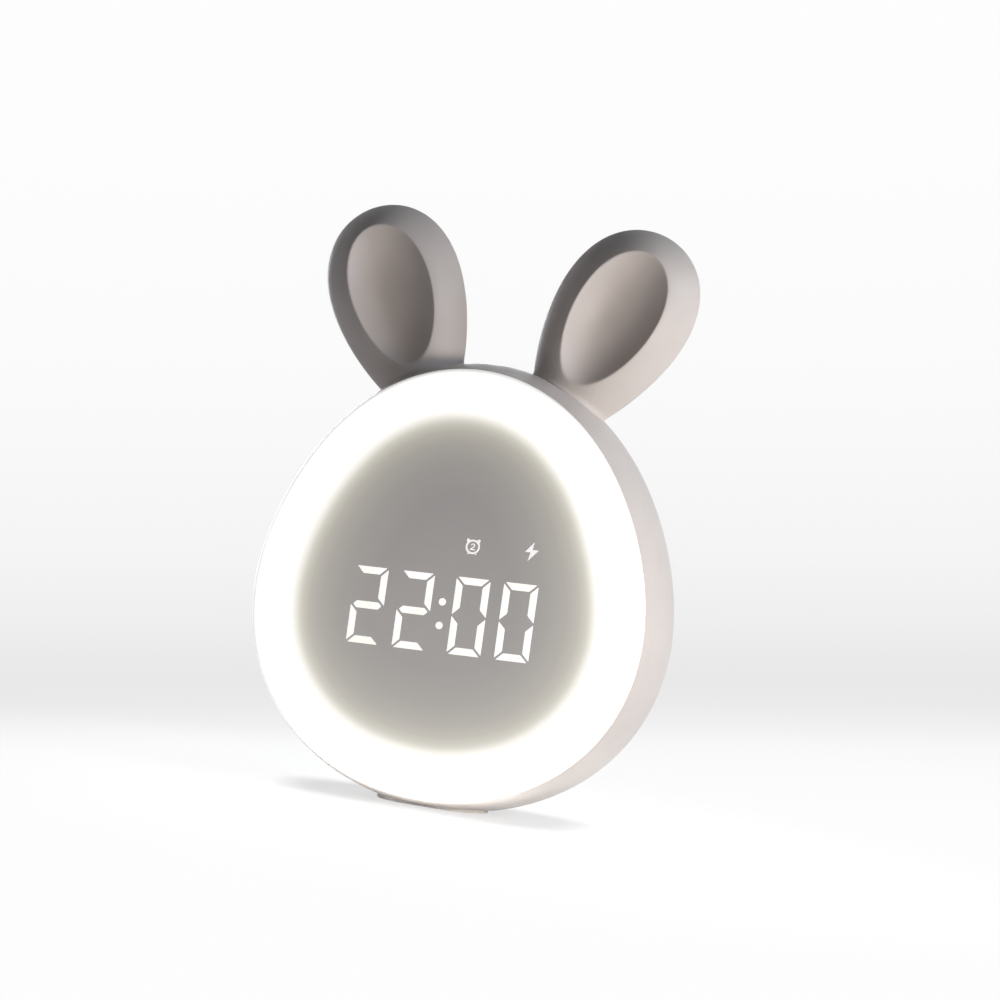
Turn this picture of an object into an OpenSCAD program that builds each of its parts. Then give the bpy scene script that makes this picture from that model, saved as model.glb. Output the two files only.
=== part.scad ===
// Kids alarm clock with a ring night light and two dished ears.
// +X is to the right seen from the front, +Y to the back, +Z up.
// The origin is the middle of the base pad's underside, on the standing surface.

/* [Face outline] */
// Mean radius of the face outline
face_r = 64.7; // [58:0.1:80]
// How much the outline is stretched from top to bottom
face_tall = 2.55; // [0:0.05:4]
// How far the outline swells at its top and at both lower corners
face_lobe = 2.03; // [0:0.01:3]

/* [Case] */
// Depth of the front housing, from the front seam to the parting line
front_depth = 25; // [24:0.5:32]
// Depth of the rear housing, from the parting line to the flat back
rear_depth = 15; // [14:0.5:24]
// Wall thickness of both housings
wall = 2.2; // [1.8:0.1:2.6]
// How far the side wall swells past the front seam at its widest
bulge = 4.7; // [3.5:0.1:7]
// Depth behind the seam at which the side wall is widest
bulge_depth = 28; // [26:0.5:34]
// Radius of the edge between the side wall and the flat back
back_edge_r = 6; // [4:0.5:8]
// How deep the flat of the base cuts into the swelling
base_flat = 2.6; // [2:0.1:3.2]
// Extra thickness of the floor over the base pad
floor_extra = 1; // [0.6:0.1:2]
// Height of the tongue that centres the rear housing in the front one
tongue_h = 1.5; // [1:0.1:2.5]
// Clearance round the tongue and round the lip of the front panel
seam_gap = 0.15; // [0.1:0.05:0.3]

/* [Front panel] */
// Wall thickness of the translucent panel
panel_t = 1.8; // [1.2:0.1:2.2]
// Height of the rounded edge of the panel
panel_edge = 2.2; // [2:0.1:3.5]
// Height of the dome over the rounded edge
panel_dome = 3.3; // [2:0.1:5]
// Height of the locating lip behind the seam
lip_h = 5; // [3:0.5:7]
// Thickness of the locating lip
lip_t = 1.4; // [1:0.1:1.8]
// Thickness of the tinted film behind the panel
film_t = 0.2; // [0.1:0.05:0.3]

/* [Ears] */
// Direction of each ear's middle from the middle of the face, from upright
ear_at = 21.3; // [17:0.1:26]
// How deep each ear's root reaches into the face outline
ear_root = 10.7; // [8:0.1:14]
// Outward lean of each ear's long axis
ear_lean = 25.1; // [15:0.1:35]
// Width of an ear
ear_w = 43; // [36:0.5:48]
// Length of an ear
ear_h = 73.9; // [64:0.1:84]
// How much wider an ear is above its middle than below
ear_taper = 0.3; // [0.1:0.01:0.32]
// Width of the rim between the ear's outline and its dish
rim_w = 8.25; // [7:0.05:10]
// Width of the rim at the foot of the dish
rim_foot = 18.6; // [14:0.1:22]
// How much wider the dish is above its middle than below
dish_taper = 0.12; // [0:0.01:0.2]
// How far the crest of the rim stands in front of the parting line
crest_h = 9; // [7:0.5:12]
// Depth of the dish below its crest
dish_depth = 7; // [4:0.5:8]
// Depth of the rounded back of an ear behind the parting line
ear_back = 9.5; // [8:0.5:13]
// Wall thickness of the ears
ear_wall = 2; // [1.6:0.1:2.4]

/* [Display] */
// Height of one digit
digit_h = 23.9; // [20:0.1:26]
// Width of one digit
digit_w = 10.7; // [9:0.1:11.5]
// Distance from one digit to the next
digit_pitch = 14.9; // [14:0.1:15.5]
// Clear width between the two middle digits
colon_gap = 6.9; // [6:0.1:8]
// Thickness of a bar of a digit
bar_t = 2.2; // [1.6:0.1:2.6]
// Dark gap between two bars
bar_gap = 0.7; // [0.4:0.1:1]
// Diameter of a colon dot
dot_d = 2.6; // [2:0.1:3]
// Height of the middle of the digits under the middle of the face
digits_drop = 7.4; // [2:0.1:12]
// Height of the symbols over the middle of the digits
symbol_rise = 22.2; // [18:0.1:24]
// Place of the alarm symbol to the right of the middle
alarm_x = 7; // [3:0.5:12]
// Place of the charge symbol to the right of the middle
charge_x = 25.4; // [20:0.5:27]
// Size of a symbol's light well
symbol_d = 5; // [4:0.1:6]
// Margin of the segment block round its light wells
block_margin = 3.5; // [3:0.1:4]
// Thickness of the diffusing sheet in front of the block
diffuser_t = 0.3; // [0.2:0.05:0.5]

/* [Inner frame and ring light] */
// Depth of the inner ledge behind the seam
ledge_depth = 10.5; // [9:0.5:12]
// Thickness of the inner ledge
ledge_t = 2; // [1.5:0.1:3]
// Width of the inner ledge inside the face outline
ledge_w = 7.5; // [7:0.1:9]
// Thickness of the inner frame's plate
frame_t = 1.5; // [1.2:0.1:2.5]
// Distance from the face outline to the light dam
dam_inset = 15.5; // [14:0.1:18]
// Thickness of the light dam
dam_t = 1.5; // [1:0.1:2]
// Thickness of the ring board and of the display board
thin_board_t = 1.2; // [0.8:0.1:1.6]
// Number of diodes in the ring light
ring_led_count = 30; // [18:2:40]
// Length of a ring diode
ring_led_l = 3.5; // [2.8:0.1:4]
// Width of a ring diode
ring_led_w = 2.8; // [2:0.1:3]
// Height of a ring diode
ring_led_t = 1.2; // [0.8:0.1:1.6]

/* [Back controls] */
// Distance from one button to the next
button_pitch = 16; // [15:0.5:19]
// Height of the buttons over the middle of the face
button_rise = 29; // [24:0.5:32]
// Diameter of a button
button_d = 8; // [6:0.1:9]
// Running clearance round a button
button_gap = 0.1; // [0.05:0.01:0.2]
// How far a button stands out of the back
button_proud = 1; // [0.8:0.1:1.5]
// How far a button travels
button_travel = 0.6; // [0.3:0.05:0.7]
// Width of the flange that keeps a button in
button_flange_w = 1; // [0.6:0.1:1.5]
// Thickness of the flange
button_flange_t = 1; // [0.8:0.1:1.5]
// Length of the plunger under the flange
plunger_l = 1.5; // [1:0.1:2.5]
// Depth of the recess round the buttons
recess_t = 0.6; // [0.3:0.1:0.8]
// Width of the charging socket's shell
usb_w = 9; // [8.9:0.05:9.2]
// Height of the charging socket's shell
usb_h = 3.3; // [3.2:0.05:3.5]
// Height of the charging socket under the buttons
usb_drop = 13; // [11:0.5:14]
// Side of a key switch's body
switch_w = 6; // [5:0.1:7]
// Height of a key switch's body
switch_t = 3.4; // [3:0.1:4]
// Height of a key switch's own stem
switch_stem = 1.5; // [0.8:0.1:2.5]

/* [Main board] */
// Width of the main board
board_w = 76; // [72:0.5:80]
// Height of the main board
board_h = 34; // [32:0.5:36]
// Thickness of the main board
board_t = 1.6; // [1.2:0.1:2]
// Distance from the board's edges to its screws
board_inset = 3.6; // [3.4:0.1:4.5]
// Height of the board's middle under the buttons
board_drop = 7; // [5:0.5:8]

/* [Loudspeaker and cell] */
// Diameter of the loudspeaker
speaker_d = 36; // [32:0.5:37]
// Height of the loudspeaker's middle under the middle of the face
speaker_drop = 14; // [12:0.5:16]
// Depth of the loudspeaker's basket
basket_h = 5; // [4:0.1:6]
// Diameter of the loudspeaker's magnet
magnet_d = 22; // [18:0.5:24]
// Thickness of the loudspeaker's magnet
magnet_t = 4.5; // [3:0.1:5]
// Diameter of a hole of the grille
grille_hole_d = 2; // [1.5:0.1:2.4]
// Distance between two rings of grille holes
grille_pitch = 4.6; // [4:0.1:5.2]
// Diameter of the rechargeable cell
cell_d = 18.4; // [14:0.1:18.6]
// Length of the rechargeable cell
cell_l = 65; // [50:0.5:66]
// Height of the cell's middle over the standing surface
cell_z = 25; // [23:0.5:26]

/* [Base pad and screws] */
// Width of the base pad
pad_w = 36; // [28:0.5:38]
// Depth of the base pad
pad_l = 22; // [16:0.5:24]
// How far the base pad stands out of the base
pad_proud = 0.8; // [0.5:0.1:1.2]
// How deep the base pad sits in the base
pad_sunk = 1; // [0.6:0.1:1.5]
// Diameter of a case screw's shank
case_screw_d = 2.6; // [2:0.1:3]
// Length of a case screw's shank
case_screw_l = 15; // [12:0.5:18]
// Depth of the wells of the case screws
screw_well = 7; // [5:0.5:8]
// Diameter of a small screw's shank
small_screw_d = 2; // [1.6:0.1:2.3]
// Length of a small screw's shank
small_screw_l = 6; // [4.5:0.1:6.5]

/* [Hidden] */

// Steps round the face outline and round an ear
face_steps = 60;
ear_steps = 40;
// Segments of round holes, pins and screws
round_fn = 32;
// Overlap that lets a cut or a joined boss pass a face
over = 0.5;
// Clearance between flat faces that only lie on each other
fit = 0.05;
// Clearance of parts that must not touch
free = 0.3;
// Exponents of the rounded rim, the dish and the back of an ear
rim_power = 1.6;
dish_power = 2.6;
back_power = 2.4;

// Places in depth, from the front to the back
seam_y = -(front_depth + rear_depth)/2;
part_y = seam_y + front_depth;
rear_y = part_y + rear_depth;
case_depth = front_depth + rear_depth;
inner_back_y = rear_y - wall;
ledge_y = seam_y + ledge_depth;
frame_y = ledge_y - frame_t;
thin_board_y = frame_y - thin_board_t;
crest_y = part_y - crest_h;

// Heights
face_bottom_r = face_r + face_tall - face_lobe;
floor_z = pad_proud;
face_z = face_bottom_r + bulge - base_flat + floor_z;
cavity_floor_z = floor_z + wall + floor_extra;
digits_z = face_z - digits_drop;
symbols_z = digits_z + symbol_rise;
buttons_z = face_z + button_rise;
usb_z = buttons_z - usb_drop;
board_z = buttons_z - board_drop;
speaker_z = face_z - speaker_drop;

// ---- Outlines ----

function face_radius(a) = face_r + face_tall*cos(2*a) + face_lobe*cos(3*a);
function face_radius_change(a) = -2*face_tall*sin(2*a) - 3*face_lobe*sin(3*a);

// A point of the face outline at angle a from the top, moved outwards by off.
function face_point(a, off = 0) =
    let (r = face_radius(a), s = face_radius_change(a), n = sqrt(r*r + s*s))
    [
        r*sin(a) + off*(r*sin(a) - s*cos(a))/n,
        face_z + r*cos(a) + off*(r*cos(a) + s*sin(a))/n
    ];

function raise(p, low) = [p[0], max(p[1], low)];
function face_loop(off, low = -100) =
    [for (i = [0 : face_steps - 1]) raise(face_point(360*i/face_steps, off), low)];

// An egg of width w and length h, scaled by q and then moved outwards by off.
function egg_point(b, w, h, taper, off = 0, q = 1) =
    let (
        du = w/2*(cos(b) + taper*cos(2*b)),
        dv = -h/2*sin(b),
        n = sqrt(du*du + dv*dv)
    )
    [
        q*w/2*sin(b)*(1 + taper*cos(b)) - off*dv/n,
        q*h/2*cos(b) + off*du/n
    ];

ear_reach = face_radius(ear_at) + ear_h/2 - ear_root;
ear_x = ear_reach*sin(ear_at);
ear_z = face_z + ear_reach*cos(ear_at);
dish_w = ear_w - 2*rim_w;
dish_h = ear_h - rim_w - rim_foot;
dish_up = (rim_foot - rim_w)/2;

function ear_place(p) = [
    ear_x + p[0]*cos(ear_lean) + p[1]*sin(ear_lean),
    ear_z - p[0]*sin(ear_lean) + p[1]*cos(ear_lean)
];
function ear_angle(i) = 360*i/ear_steps;
function ear_outline(b, off = 0, q = 1) = egg_point(b, ear_w, ear_h, ear_taper, off, q);
function dish_outline(b, off = 0, q = 1) =
    egg_point(b, dish_w, dish_h, dish_taper, off, q) + [0, dish_up];
function ear_loop(off = 0, q = 1) =
    [for (i = [0 : ear_steps - 1]) ear_place(ear_outline(ear_angle(i), off, q))];
function dish_loop(off = 0, q = 1) =
    [for (i = [0 : ear_steps - 1]) ear_place(dish_outline(ear_angle(i), off, q))];

// The rim's loop at share f of the way from the ear's outline to its dish,
// moved towards the dish by a step.
function rim_loop(f, step = 0) = [
    for (i = [0 : ear_steps - 1])
        let (
            b = ear_angle(i),
            from = ear_outline(b),
            to = dish_outline(b),
            way = to - from
        )
        ear_place(from + way*f + way/norm(way)*step)
];

// ---- Profiles in depth ----

// How far the side wall stands outside the face outline at depth d.
function barrel(d) = bulge*(1 - pow((d - bulge_depth)/bulge_depth, 2));
// Depth of the rim's surface at share f, and of the dish's surface at scale q.
function rim_y(f) = part_y - crest_h*pow(1 - pow(1 - f, rim_power), 1/rim_power);
function dish_y(q) = crest_y + dish_depth*(1 - pow(q, dish_power));
function back_y(g, h) = part_y + h*pow(1 - pow(g, back_power), 1/back_power);
// Depth of the front panel's outer face at scale q of the face outline.
function panel_y(q) = seam_y - panel_edge - panel_dome*(1 - q*q);

// Unit normals of the rim and dish profiles, as [sideways, back].
function turned(t) = [-t[1], t[0]]/norm(t);
delta = 0.01;
function rim_normal(f) = turned([rim_w*2*delta, rim_y(f + delta) - rim_y(f - delta)]);
function dish_normal(q) = turned([dish_w*delta, dish_y(q + delta) - dish_y(q - delta)]);

// ---- Helpers ----

function at_depth(loop, y) = [for (p = loop) [p[0], y, p[1]]];

// A closed skin over equal rings from front to back, with a point at each end.
module skin(rings, front_tip, back_tip) {
    n = len(rings[0]);
    m = len(rings);
    last = m*n + 1;
    points = concat([front_tip], [for (r = rings) each r], [back_tip]);
    front = [for (i = [0 : n - 1]) [0, 1 + i, 1 + (i + 1)%n]];
    back = [
        for (i = [0 : n - 1])
            [last, 1 + (m - 1)*n + (i + 1)%n, 1 + (m - 1)*n + i]
    ];
    sides = [
        for (j = [0 : m - 2], i = [0 : n - 1])
            let (a = 1 + j*n + i, b = 1 + j*n + (i + 1)%n)
            each [[a, a + n, b + n], [a, b + n, b]]
    ];
    polyhedron(points, concat(front, sides, back));
}

// A flat outline drawn in X and Z, given thickness from depth y0 to y1.
module slab(y0, y1) {
    translate([0, y1, 0]) rotate([90, 0, 0]) linear_extrude(y1 - y0) children();
}

module pin(p, r, y0, y1) {
    translate([p[0], y1, p[1]]) rotate([90, 0, 0])
        cylinder(r = r, h = y1 - y0, $fn = round_fn);
}

module cone_pin(p, r0, r1, y0, y1) {
    translate([p[0], y1, p[1]]) rotate([90, 0, 0])
        cylinder(r1 = r1, r2 = r0, h = y1 - y0, $fn = round_fn);
}

module box(x0, x1, y0, y1, z0, z1) {
    translate([x0, y0, z0]) cube([x1 - x0, y1 - y0, z1 - z0]);
}

module stadium(w, h) {
    r = h/2;
    square([w - h, h], center = true);
    for (s = [-1, 1]) translate([s*(w/2 - r), 0]) circle(r, $fn = round_fn);
}

module both_ears() {
    children();
    mirror([1, 0, 0]) children();
}

module face_plate(off, low = -100) {
    polygon(face_loop(off, low));
}

// The whole outline of the case at the parting line, with the ears.
module case_plate(off, ear_off, low) {
    face_plate(barrel(front_depth) + off, low);
    both_ears() polygon(ear_loop(ear_off));
}

// A screw: a cone-topped pan head and a shank that points to the front.
module screw(p, seat_y, shank_d, shank_l, way = 1) {
    head_d = 1.85*shank_d;
    head_t = 0.6*shank_d;
    if (way > 0) {
        pin(p, shank_d/2, seat_y - shank_l, seat_y + head_t/2);
        difference() {
            pin(p, head_d/2, seat_y, seat_y + head_t);
            cross_recess(p, seat_y + head_t, shank_d);
        }
    } else {
        pin(p, shank_d/2, seat_y - head_t/2, seat_y + shank_l);
        difference() {
            pin(p, head_d/2, seat_y - head_t, seat_y);
            cross_recess(p, seat_y - head_t, shank_d);
        }
    }
}

module cross_recess(p, y, d) {
    for (turn = [0, 90]) translate([p[0], y, p[1]]) rotate([0, turn, 0])
        cube([d, d/2, d/5], center = true);
}

// ---- Screw places ----

case_screw_inset = 6.5;
case_boss_r = 1.3 + case_screw_d/2 + 0.6;
case_screw_angles = [0, 68, 130, 230, 292];
function case_screw_at(a) = face_point(a, -case_screw_inset);
case_seat_y = rear_y - screw_well;
case_head_r = 1.85*case_screw_d/2 + free;

frame_screw_inset = 5.4;
frame_screw_count = 5;
function frame_screw_at(i) = face_point(360*(i + 0.5)/frame_screw_count, -frame_screw_inset);
frame_boss_r = small_screw_d/2 + 1.4;
frame_boss_y = frame_y + small_screw_l + 1;

block_half_w = digit_pitch + colon_gap/2 + digit_w + block_margin;
block_low_z = digits_z - digit_h/2 - block_margin;
block_high_z = symbols_z + symbol_d/2 + block_margin;
display_screw_inset = 2;
display_screws_at = [
    for (x = [-1, 1], z = [block_low_z + display_screw_inset, block_high_z - display_screw_inset])
        [x*(block_half_w - display_screw_inset), z]
];
board_screws_at = [
    for (x = [-1, 1], z = [-1, 1])
        [x*(board_w/2 - board_inset), board_z + z*(board_h/2 - board_inset)]
];
board_boss_r = small_screw_d/2 + 1.6;
bracket_screw_x = speaker_d/2 + 6;
bracket_screws_at = [for (x = [-1, 1]) [x*bracket_screw_x, speaker_z]];

// ---- Front panel and film ----

panel_rings = [0.22, 0.44, 0.64, 0.8, 0.92, 1];
panel_edge_turns = [30, 60, 90];

// The panel's flat-sided outline, inside its rounded edge, scaled by q.
function panel_loop(q) = [
    for (i = [0 : face_steps - 1])
        let (p = face_point(360*i/face_steps, -panel_edge))
        [q*p[0], face_z + q*(p[1] - face_z)]
];
function dome_rings(scales, shift) =
    [for (q = scales) at_depth(panel_loop(q), panel_y(q) + shift)];

module front_panel() {
    edge = [
        for (t = panel_edge_turns)
            at_depth(face_loop(-panel_edge*(1 - sin(t))), seam_y - panel_edge*cos(t))
    ];
    inner_edge = [
        for (y = [seam_y - panel_edge + panel_t + fit, seam_y + over])
            at_depth(face_loop(-panel_t), y)
    ];
    color([0.97, 0.96, 0.93]) {
        difference() {
            skin(concat(dome_rings(panel_rings, 0), edge),
                [0, panel_y(0), face_z], [0, seam_y, face_z]);
            skin(concat(dome_rings(panel_rings, panel_t), inner_edge),
                [0, panel_y(0) + panel_t, face_z], [0, seam_y + over, face_z]);
        }
        slab(seam_y - panel_edge/2, seam_y + lip_h) difference() {
            face_plate(-wall - seam_gap);
            face_plate(-wall - seam_gap - lip_t);
        }
    }
}

dam_q = 1 - (dam_inset - panel_edge)/(face_r - panel_edge);
film_rings = [for (q = [0.28, 0.52, 0.76, 1]) q*(dam_q - 0.01)];

module display_film() {
    near = panel_t + fit;
    far = near + film_t;
    color([0.55, 0.53, 0.52]) skin(
        concat(dome_rings(film_rings, near),
            [for (q = [film_rings[3], film_rings[2], film_rings[1], film_rings[0]])
                at_depth(panel_loop(q), panel_y(q) + far)]),
        [0, panel_y(0) + near, face_z], [0, panel_y(0) + far, face_z]);
}

// ---- Housings ----

function wall_ring(d, off, low) = at_depth(face_loop(barrel(d) + off, low), seam_y + d);
front_depths = [0, 0.16, 0.36, 0.58, 0.8, 1];

module front_body(off, low, past) {
    rings = [for (s = front_depths)
        wall_ring(s*front_depth + past*(2*s - 1), off, low)];
    skin(rings, [0, seam_y - past, face_z], [0, part_y + past, face_z]);
}

// The rear half: the side wall, then a rounded edge, then the flat back.
module rear_body(off, low, past) {
    turn_d = case_depth - back_edge_r;
    r = back_edge_r + off;
    rings = concat(
        [for (d = [front_depth - past, (front_depth + turn_d)/2]) wall_ring(d, off, low)],
        [for (t = [0, 30, 60, 90])
            at_depth(face_loop(barrel(turn_d) + off - r*(1 - cos(t)), low),
                seam_y + turn_d + r*sin(t))]
    );
    skin(rings, [0, part_y - past, face_z], [0, rear_y + off, face_z]);
}

rim_shares = [1, 0.85, 0.65, 0.42, 0.2, 0.06, 0];
dish_scales = [0.25, 0.5, 0.72, 0.9];

// The front of an ear: a dish, the crest round it, and the rounded rim.
module ear_front() {
    dish = [for (q = dish_scales) at_depth(dish_loop(0, q), dish_y(q))];
    rim = [for (f = rim_shares) at_depth(rim_loop(f), rim_y(f))];
    middle = ear_place([0, dish_up]);
    skin(concat(dish, rim), [middle[0], dish_y(0), middle[1]],
        [middle[0], part_y, middle[1]]);
}

// The hollow inside it, one wall thickness away from every surface.
module ear_front_hollow() {
    t = ear_wall;
    dish = [
        for (q = dish_scales)
            let (n = dish_normal(q))
            at_depth(dish_loop(t*n[0], q), dish_y(q) + t*n[1])
    ];
    rim = [
        for (f = [0.7, 0.42, 0.2, 0.02])
            let (n = rim_normal(f))
            at_depth(rim_loop(f, t*n[0]), rim_y(f) + t*n[1])
    ];
    end = [at_depth(ear_loop(-t), part_y + over)];
    middle = ear_place([0, dish_up]);
    skin(concat(dish, rim, end), [middle[0], dish_y(0) + t, middle[1]],
        [middle[0], part_y + over, middle[1]]);
}

// The rounded back of an ear, or the hollow in it.
module ear_rear(off, past) {
    h = ear_back + off;
    rings = concat(
        past > 0 ? [at_depth(ear_loop(off), part_y - past)] : [],
        [for (g = [1, 0.97, 0.88, 0.7, 0.42]) at_depth(ear_loop(off, g), back_y(g, h))]
    );
    middle = ear_place([0, 0]);
    skin(rings, [middle[0], part_y - past, middle[1]], [middle[0], part_y + h, middle[1]]);
}

module pad_shape(gap, top) {
    linear_extrude(top) stadium(pad_w + 2*gap, pad_l + 2*gap);
}

module front_housing() {
    color([0.9, 0.88, 0.86]) {
        difference() {
            union() {
                front_body(0, floor_z, 0);
                both_ears() ear_front();
            }
            front_body(-wall, cavity_floor_z, over);
            both_ears() ear_front_hollow();
            slab(part_y - tongue_h - seam_gap, part_y + over) difference() {
                case_plate(-wall/2, -ear_wall/2, floor_z + wall/2);
                case_plate(-wall - free, -ear_wall - free, cavity_floor_z + free);
            }
            pad_shape(seam_gap, pad_proud + pad_sunk + fit);
        }
        difference() {
            union() {
                slab(ledge_y, ledge_y + ledge_t) difference() {
                    face_plate(barrel(ledge_depth) - wall/2, floor_z + wall/2);
                    face_plate(-ledge_w);
                }
                for (a = case_screw_angles)
                    pin(case_screw_at(a), case_boss_r, ledge_y + fit, part_y);
                for (i = [0 : frame_screw_count - 1])
                    pin(frame_screw_at(i), frame_boss_r, ledge_y + fit, frame_boss_y);
            }
            for (a = case_screw_angles)
                pin(case_screw_at(a), case_screw_d/2 + fit,
                    case_seat_y - case_screw_l - 1, part_y + over);
            for (i = [0 : frame_screw_count - 1])
                pin(frame_screw_at(i), small_screw_d/2 + fit, ledge_y - over,
                    frame_boss_y + over);
        }
    }
}

cell_y = inner_back_y - cell_d/2 - 2.6;
saddle_x = 0.3*cell_l;
saddle_t = 2;
saddle_reach = 0.33*cell_d/2;
speaker_r = speaker_d/2;
gasket_t = 0.8;
flange_t = 1;
basket_wall = 0.8;
speaker_y = inner_back_y - gasket_t;
magnet_y = speaker_y - basket_h - magnet_t;
bracket_t = 1.5;
bracket_y = magnet_y - fit;
button_x = [for (i = [-1.5 : 1.5]) i*button_pitch];
plunger_y = inner_back_y - fit - button_flange_t - plunger_l;
switch_y = plunger_y - button_travel - fit;
board_back_y = switch_y - switch_stem - switch_t;
board_y = board_back_y - board_t;
recess_w = 3*button_pitch + button_d + 8;
recess_h = button_d + 8;

module back_bosses() {
    for (a = case_screw_angles)
        pin(case_screw_at(a), case_head_r + 1.3, part_y + fit, inner_back_y + over);
    for (p = board_screws_at)
        pin(p, board_boss_r, board_back_y, inner_back_y + over);
    for (p = bracket_screws_at)
        pin(p, board_boss_r, bracket_y, inner_back_y + over);
    slab(speaker_y - flange_t, inner_back_y + over) translate([0, speaker_z])
        difference() {
            circle(speaker_r + free + 1.2, $fn = round_fn);
            circle(speaker_r + free, $fn = round_fn);
        }
}

// A saddle rib that the cell snaps into, and a stop rib at the cell's end.
module cell_ribs() {
    for (s = [-1, 1]) translate([s*saddle_x - saddle_t/2, 0, 0]) difference() {
        box(0, saddle_t, cell_y - saddle_reach, inner_back_y + over,
            cell_z - cell_d/2 - saddle_t, cell_z + cell_d/2 + saddle_t);
        translate([-over, cell_y, cell_z]) rotate([0, 90, 0])
            cylinder(r = cell_d/2 + fit, h = saddle_t + 2*over, $fn = round_fn);
    }
    for (s = [-1, 1]) translate([s*(cell_l/2 + fit + saddle_t/2), 0, 0])
        box(-saddle_t/2, saddle_t/2, cell_y, inner_back_y + over,
            cell_z - cell_d/4, cell_z + cell_d/4);
}

module grille_holes() {
    for (ring = [0 : 2], i = [0 : max(6*ring, 1) - 1])
        let (a = 360*i/max(6*ring, 1), r = ring*grille_pitch)
        pin([r*sin(a), speaker_z + r*cos(a)], grille_hole_d/2, inner_back_y - over,
            rear_y + over);
}

module rear_housing() {
    color([0.9, 0.88, 0.86]) difference() {
        union() {
            difference() {
                union() {
                    rear_body(0, floor_z, 0);
                    both_ears() ear_rear(0, 0);
                }
                rear_body(-wall, cavity_floor_z, over);
                both_ears() ear_rear(-ear_wall, over);
            }
            slab(part_y - tongue_h, part_y + over) difference() {
                case_plate(-wall/2 - seam_gap, -ear_wall/2 - seam_gap,
                    floor_z + wall/2 + seam_gap);
                case_plate(-wall, -ear_wall, cavity_floor_z);
            }
            back_bosses();
            cell_ribs();
        }
        for (a = case_screw_angles) {
            pin(case_screw_at(a), case_screw_d/2 + seam_gap, part_y - over, rear_y);
            pin(case_screw_at(a), case_head_r, case_seat_y, rear_y + over);
        }
        for (p = board_screws_at)
            pin(p, small_screw_d/2 + fit, board_back_y - over, inner_back_y - over);
        for (p = bracket_screws_at)
            pin(p, small_screw_d/2 + fit, bracket_y - over, inner_back_y - over);
        slab(rear_y - recess_t, rear_y + over) translate([0, buttons_z])
            stadium(recess_w, recess_h);
        for (x = button_x)
            pin([x, buttons_z], button_d/2 + button_gap, inner_back_y - over,
                rear_y + over);
        slab(inner_back_y - over, rear_y + over) translate([0, usb_z])
            stadium(usb_w + 2*seam_gap, usb_h + 2*seam_gap);
        grille_holes();
        pad_shape(seam_gap, pad_proud + pad_sunk + fit);
    }
}

module base_pad() {
    color([0.82, 0.8, 0.78]) difference() {
        pad_shape(0, pad_proud + pad_sunk);
        for (x = [-1 : 1]) translate([x*pad_w/4, 0, -over])
            linear_extrude(over + pad_proud/2) stadium(pad_w/8, pad_l/2 - 2);
    }
}

// ---- Light dam, ring light and display ----

ring_outer_inset = frame_screw_inset + 1.85*small_screw_d/2 + free;
ring_inner_inset = dam_inset - free;
ring_mid_inset = (ring_outer_inset + ring_inner_inset)/2;
stake_count = 5;
stake_r = 1;
stake_head_r = 1.6;
stake_head_t = 0.7;
function stake_at(i) =
    let (slot = floor(i*ring_led_count/stake_count) + 0.5)
    face_point(360*slot/ring_led_count, -ring_mid_inset);
window_w = 30;
window_h = 9;
wire_hole_r = 2;
wire_hole_at = face_point(285, -ring_mid_inset);
dam_y = panel_y(dam_q + 0.03) + panel_t + film_t + free;

module inner_frame() {
    color([0.93, 0.93, 0.92]) {
        difference() {
            slab(frame_y, ledge_y) face_plate(-wall - seam_gap - fit);
            for (i = [0 : frame_screw_count - 1])
                pin(frame_screw_at(i), small_screw_d/2 + seam_gap, frame_y - over,
                    ledge_y + over);
            for (p = display_screws_at)
                pin(p, small_screw_d/2 + seam_gap, frame_y - over, ledge_y + over);
            slab(frame_y - over, ledge_y + over) translate([0, digits_z])
                square([window_w, window_h], center = true);
            pin(wire_hole_at, wire_hole_r, frame_y - over, ledge_y + over);
        }
        slab(dam_y, frame_y + over) difference() {
            face_plate(-dam_inset);
            face_plate(-dam_inset - dam_t);
        }
        for (i = [0 : stake_count - 1]) {
            pin(stake_at(i), stake_r, thin_board_y - over, frame_y + over);
            cone_pin(stake_at(i), stake_r, stake_head_r, thin_board_y - stake_head_t,
                thin_board_y);
        }
    }
}

module ring_board() {
    color([0.93, 0.94, 0.93]) difference() {
        slab(thin_board_y, frame_y) difference() {
            face_plate(-ring_outer_inset);
            face_plate(-ring_inner_inset);
        }
        for (i = [0 : stake_count - 1])
            pin(stake_at(i), stake_r + fit, thin_board_y - over, frame_y + over);
        pin(wire_hole_at, wire_hole_r, thin_board_y - over, frame_y + over);
    }
}

module ring_leds() {
    color([0.98, 0.93, 0.62]) for (i = [0 : ring_led_count - 1])
        let (a = 360*i/ring_led_count, p = face_point(a, -ring_mid_inset))
        translate([p[0], thin_board_y - ring_led_t/2, p[1]]) rotate([0, a, 0])
            cube([ring_led_l, ring_led_t, ring_led_w], center = true);
}

mitre = bar_gap/sqrt(2);
bar_tip = bar_gap*sqrt(2) - mitre/2;

// A bar across the top of a digit, and one down its upper right side.
module top_bar() {
    polygon([
        [mitre, digit_h], [digit_w - mitre, digit_h],
        [digit_w - bar_t - mitre, digit_h - bar_t], [bar_t + mitre, digit_h - bar_t]
    ]);
}

module side_bar() {
    polygon([
        [digit_w, digit_h - mitre], [digit_w, (digit_h + mitre)/2],
        [digit_w - bar_t, (digit_h + mitre)/2 + bar_t],
        [digit_w - bar_t, digit_h - bar_t - mitre]
    ]);
}

module middle_bar() {
    c = digit_h/2;
    t = bar_t/2;
    polygon([
        [bar_tip, c], [bar_tip + t, c + t], [digit_w - bar_tip - t, c + t],
        [digit_w - bar_tip, c], [digit_w - bar_tip - t, c - t], [bar_tip + t, c - t]
    ]);
}

module upside_down() {
    translate([0, digit_h]) mirror([0, 1]) children();
}

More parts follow.
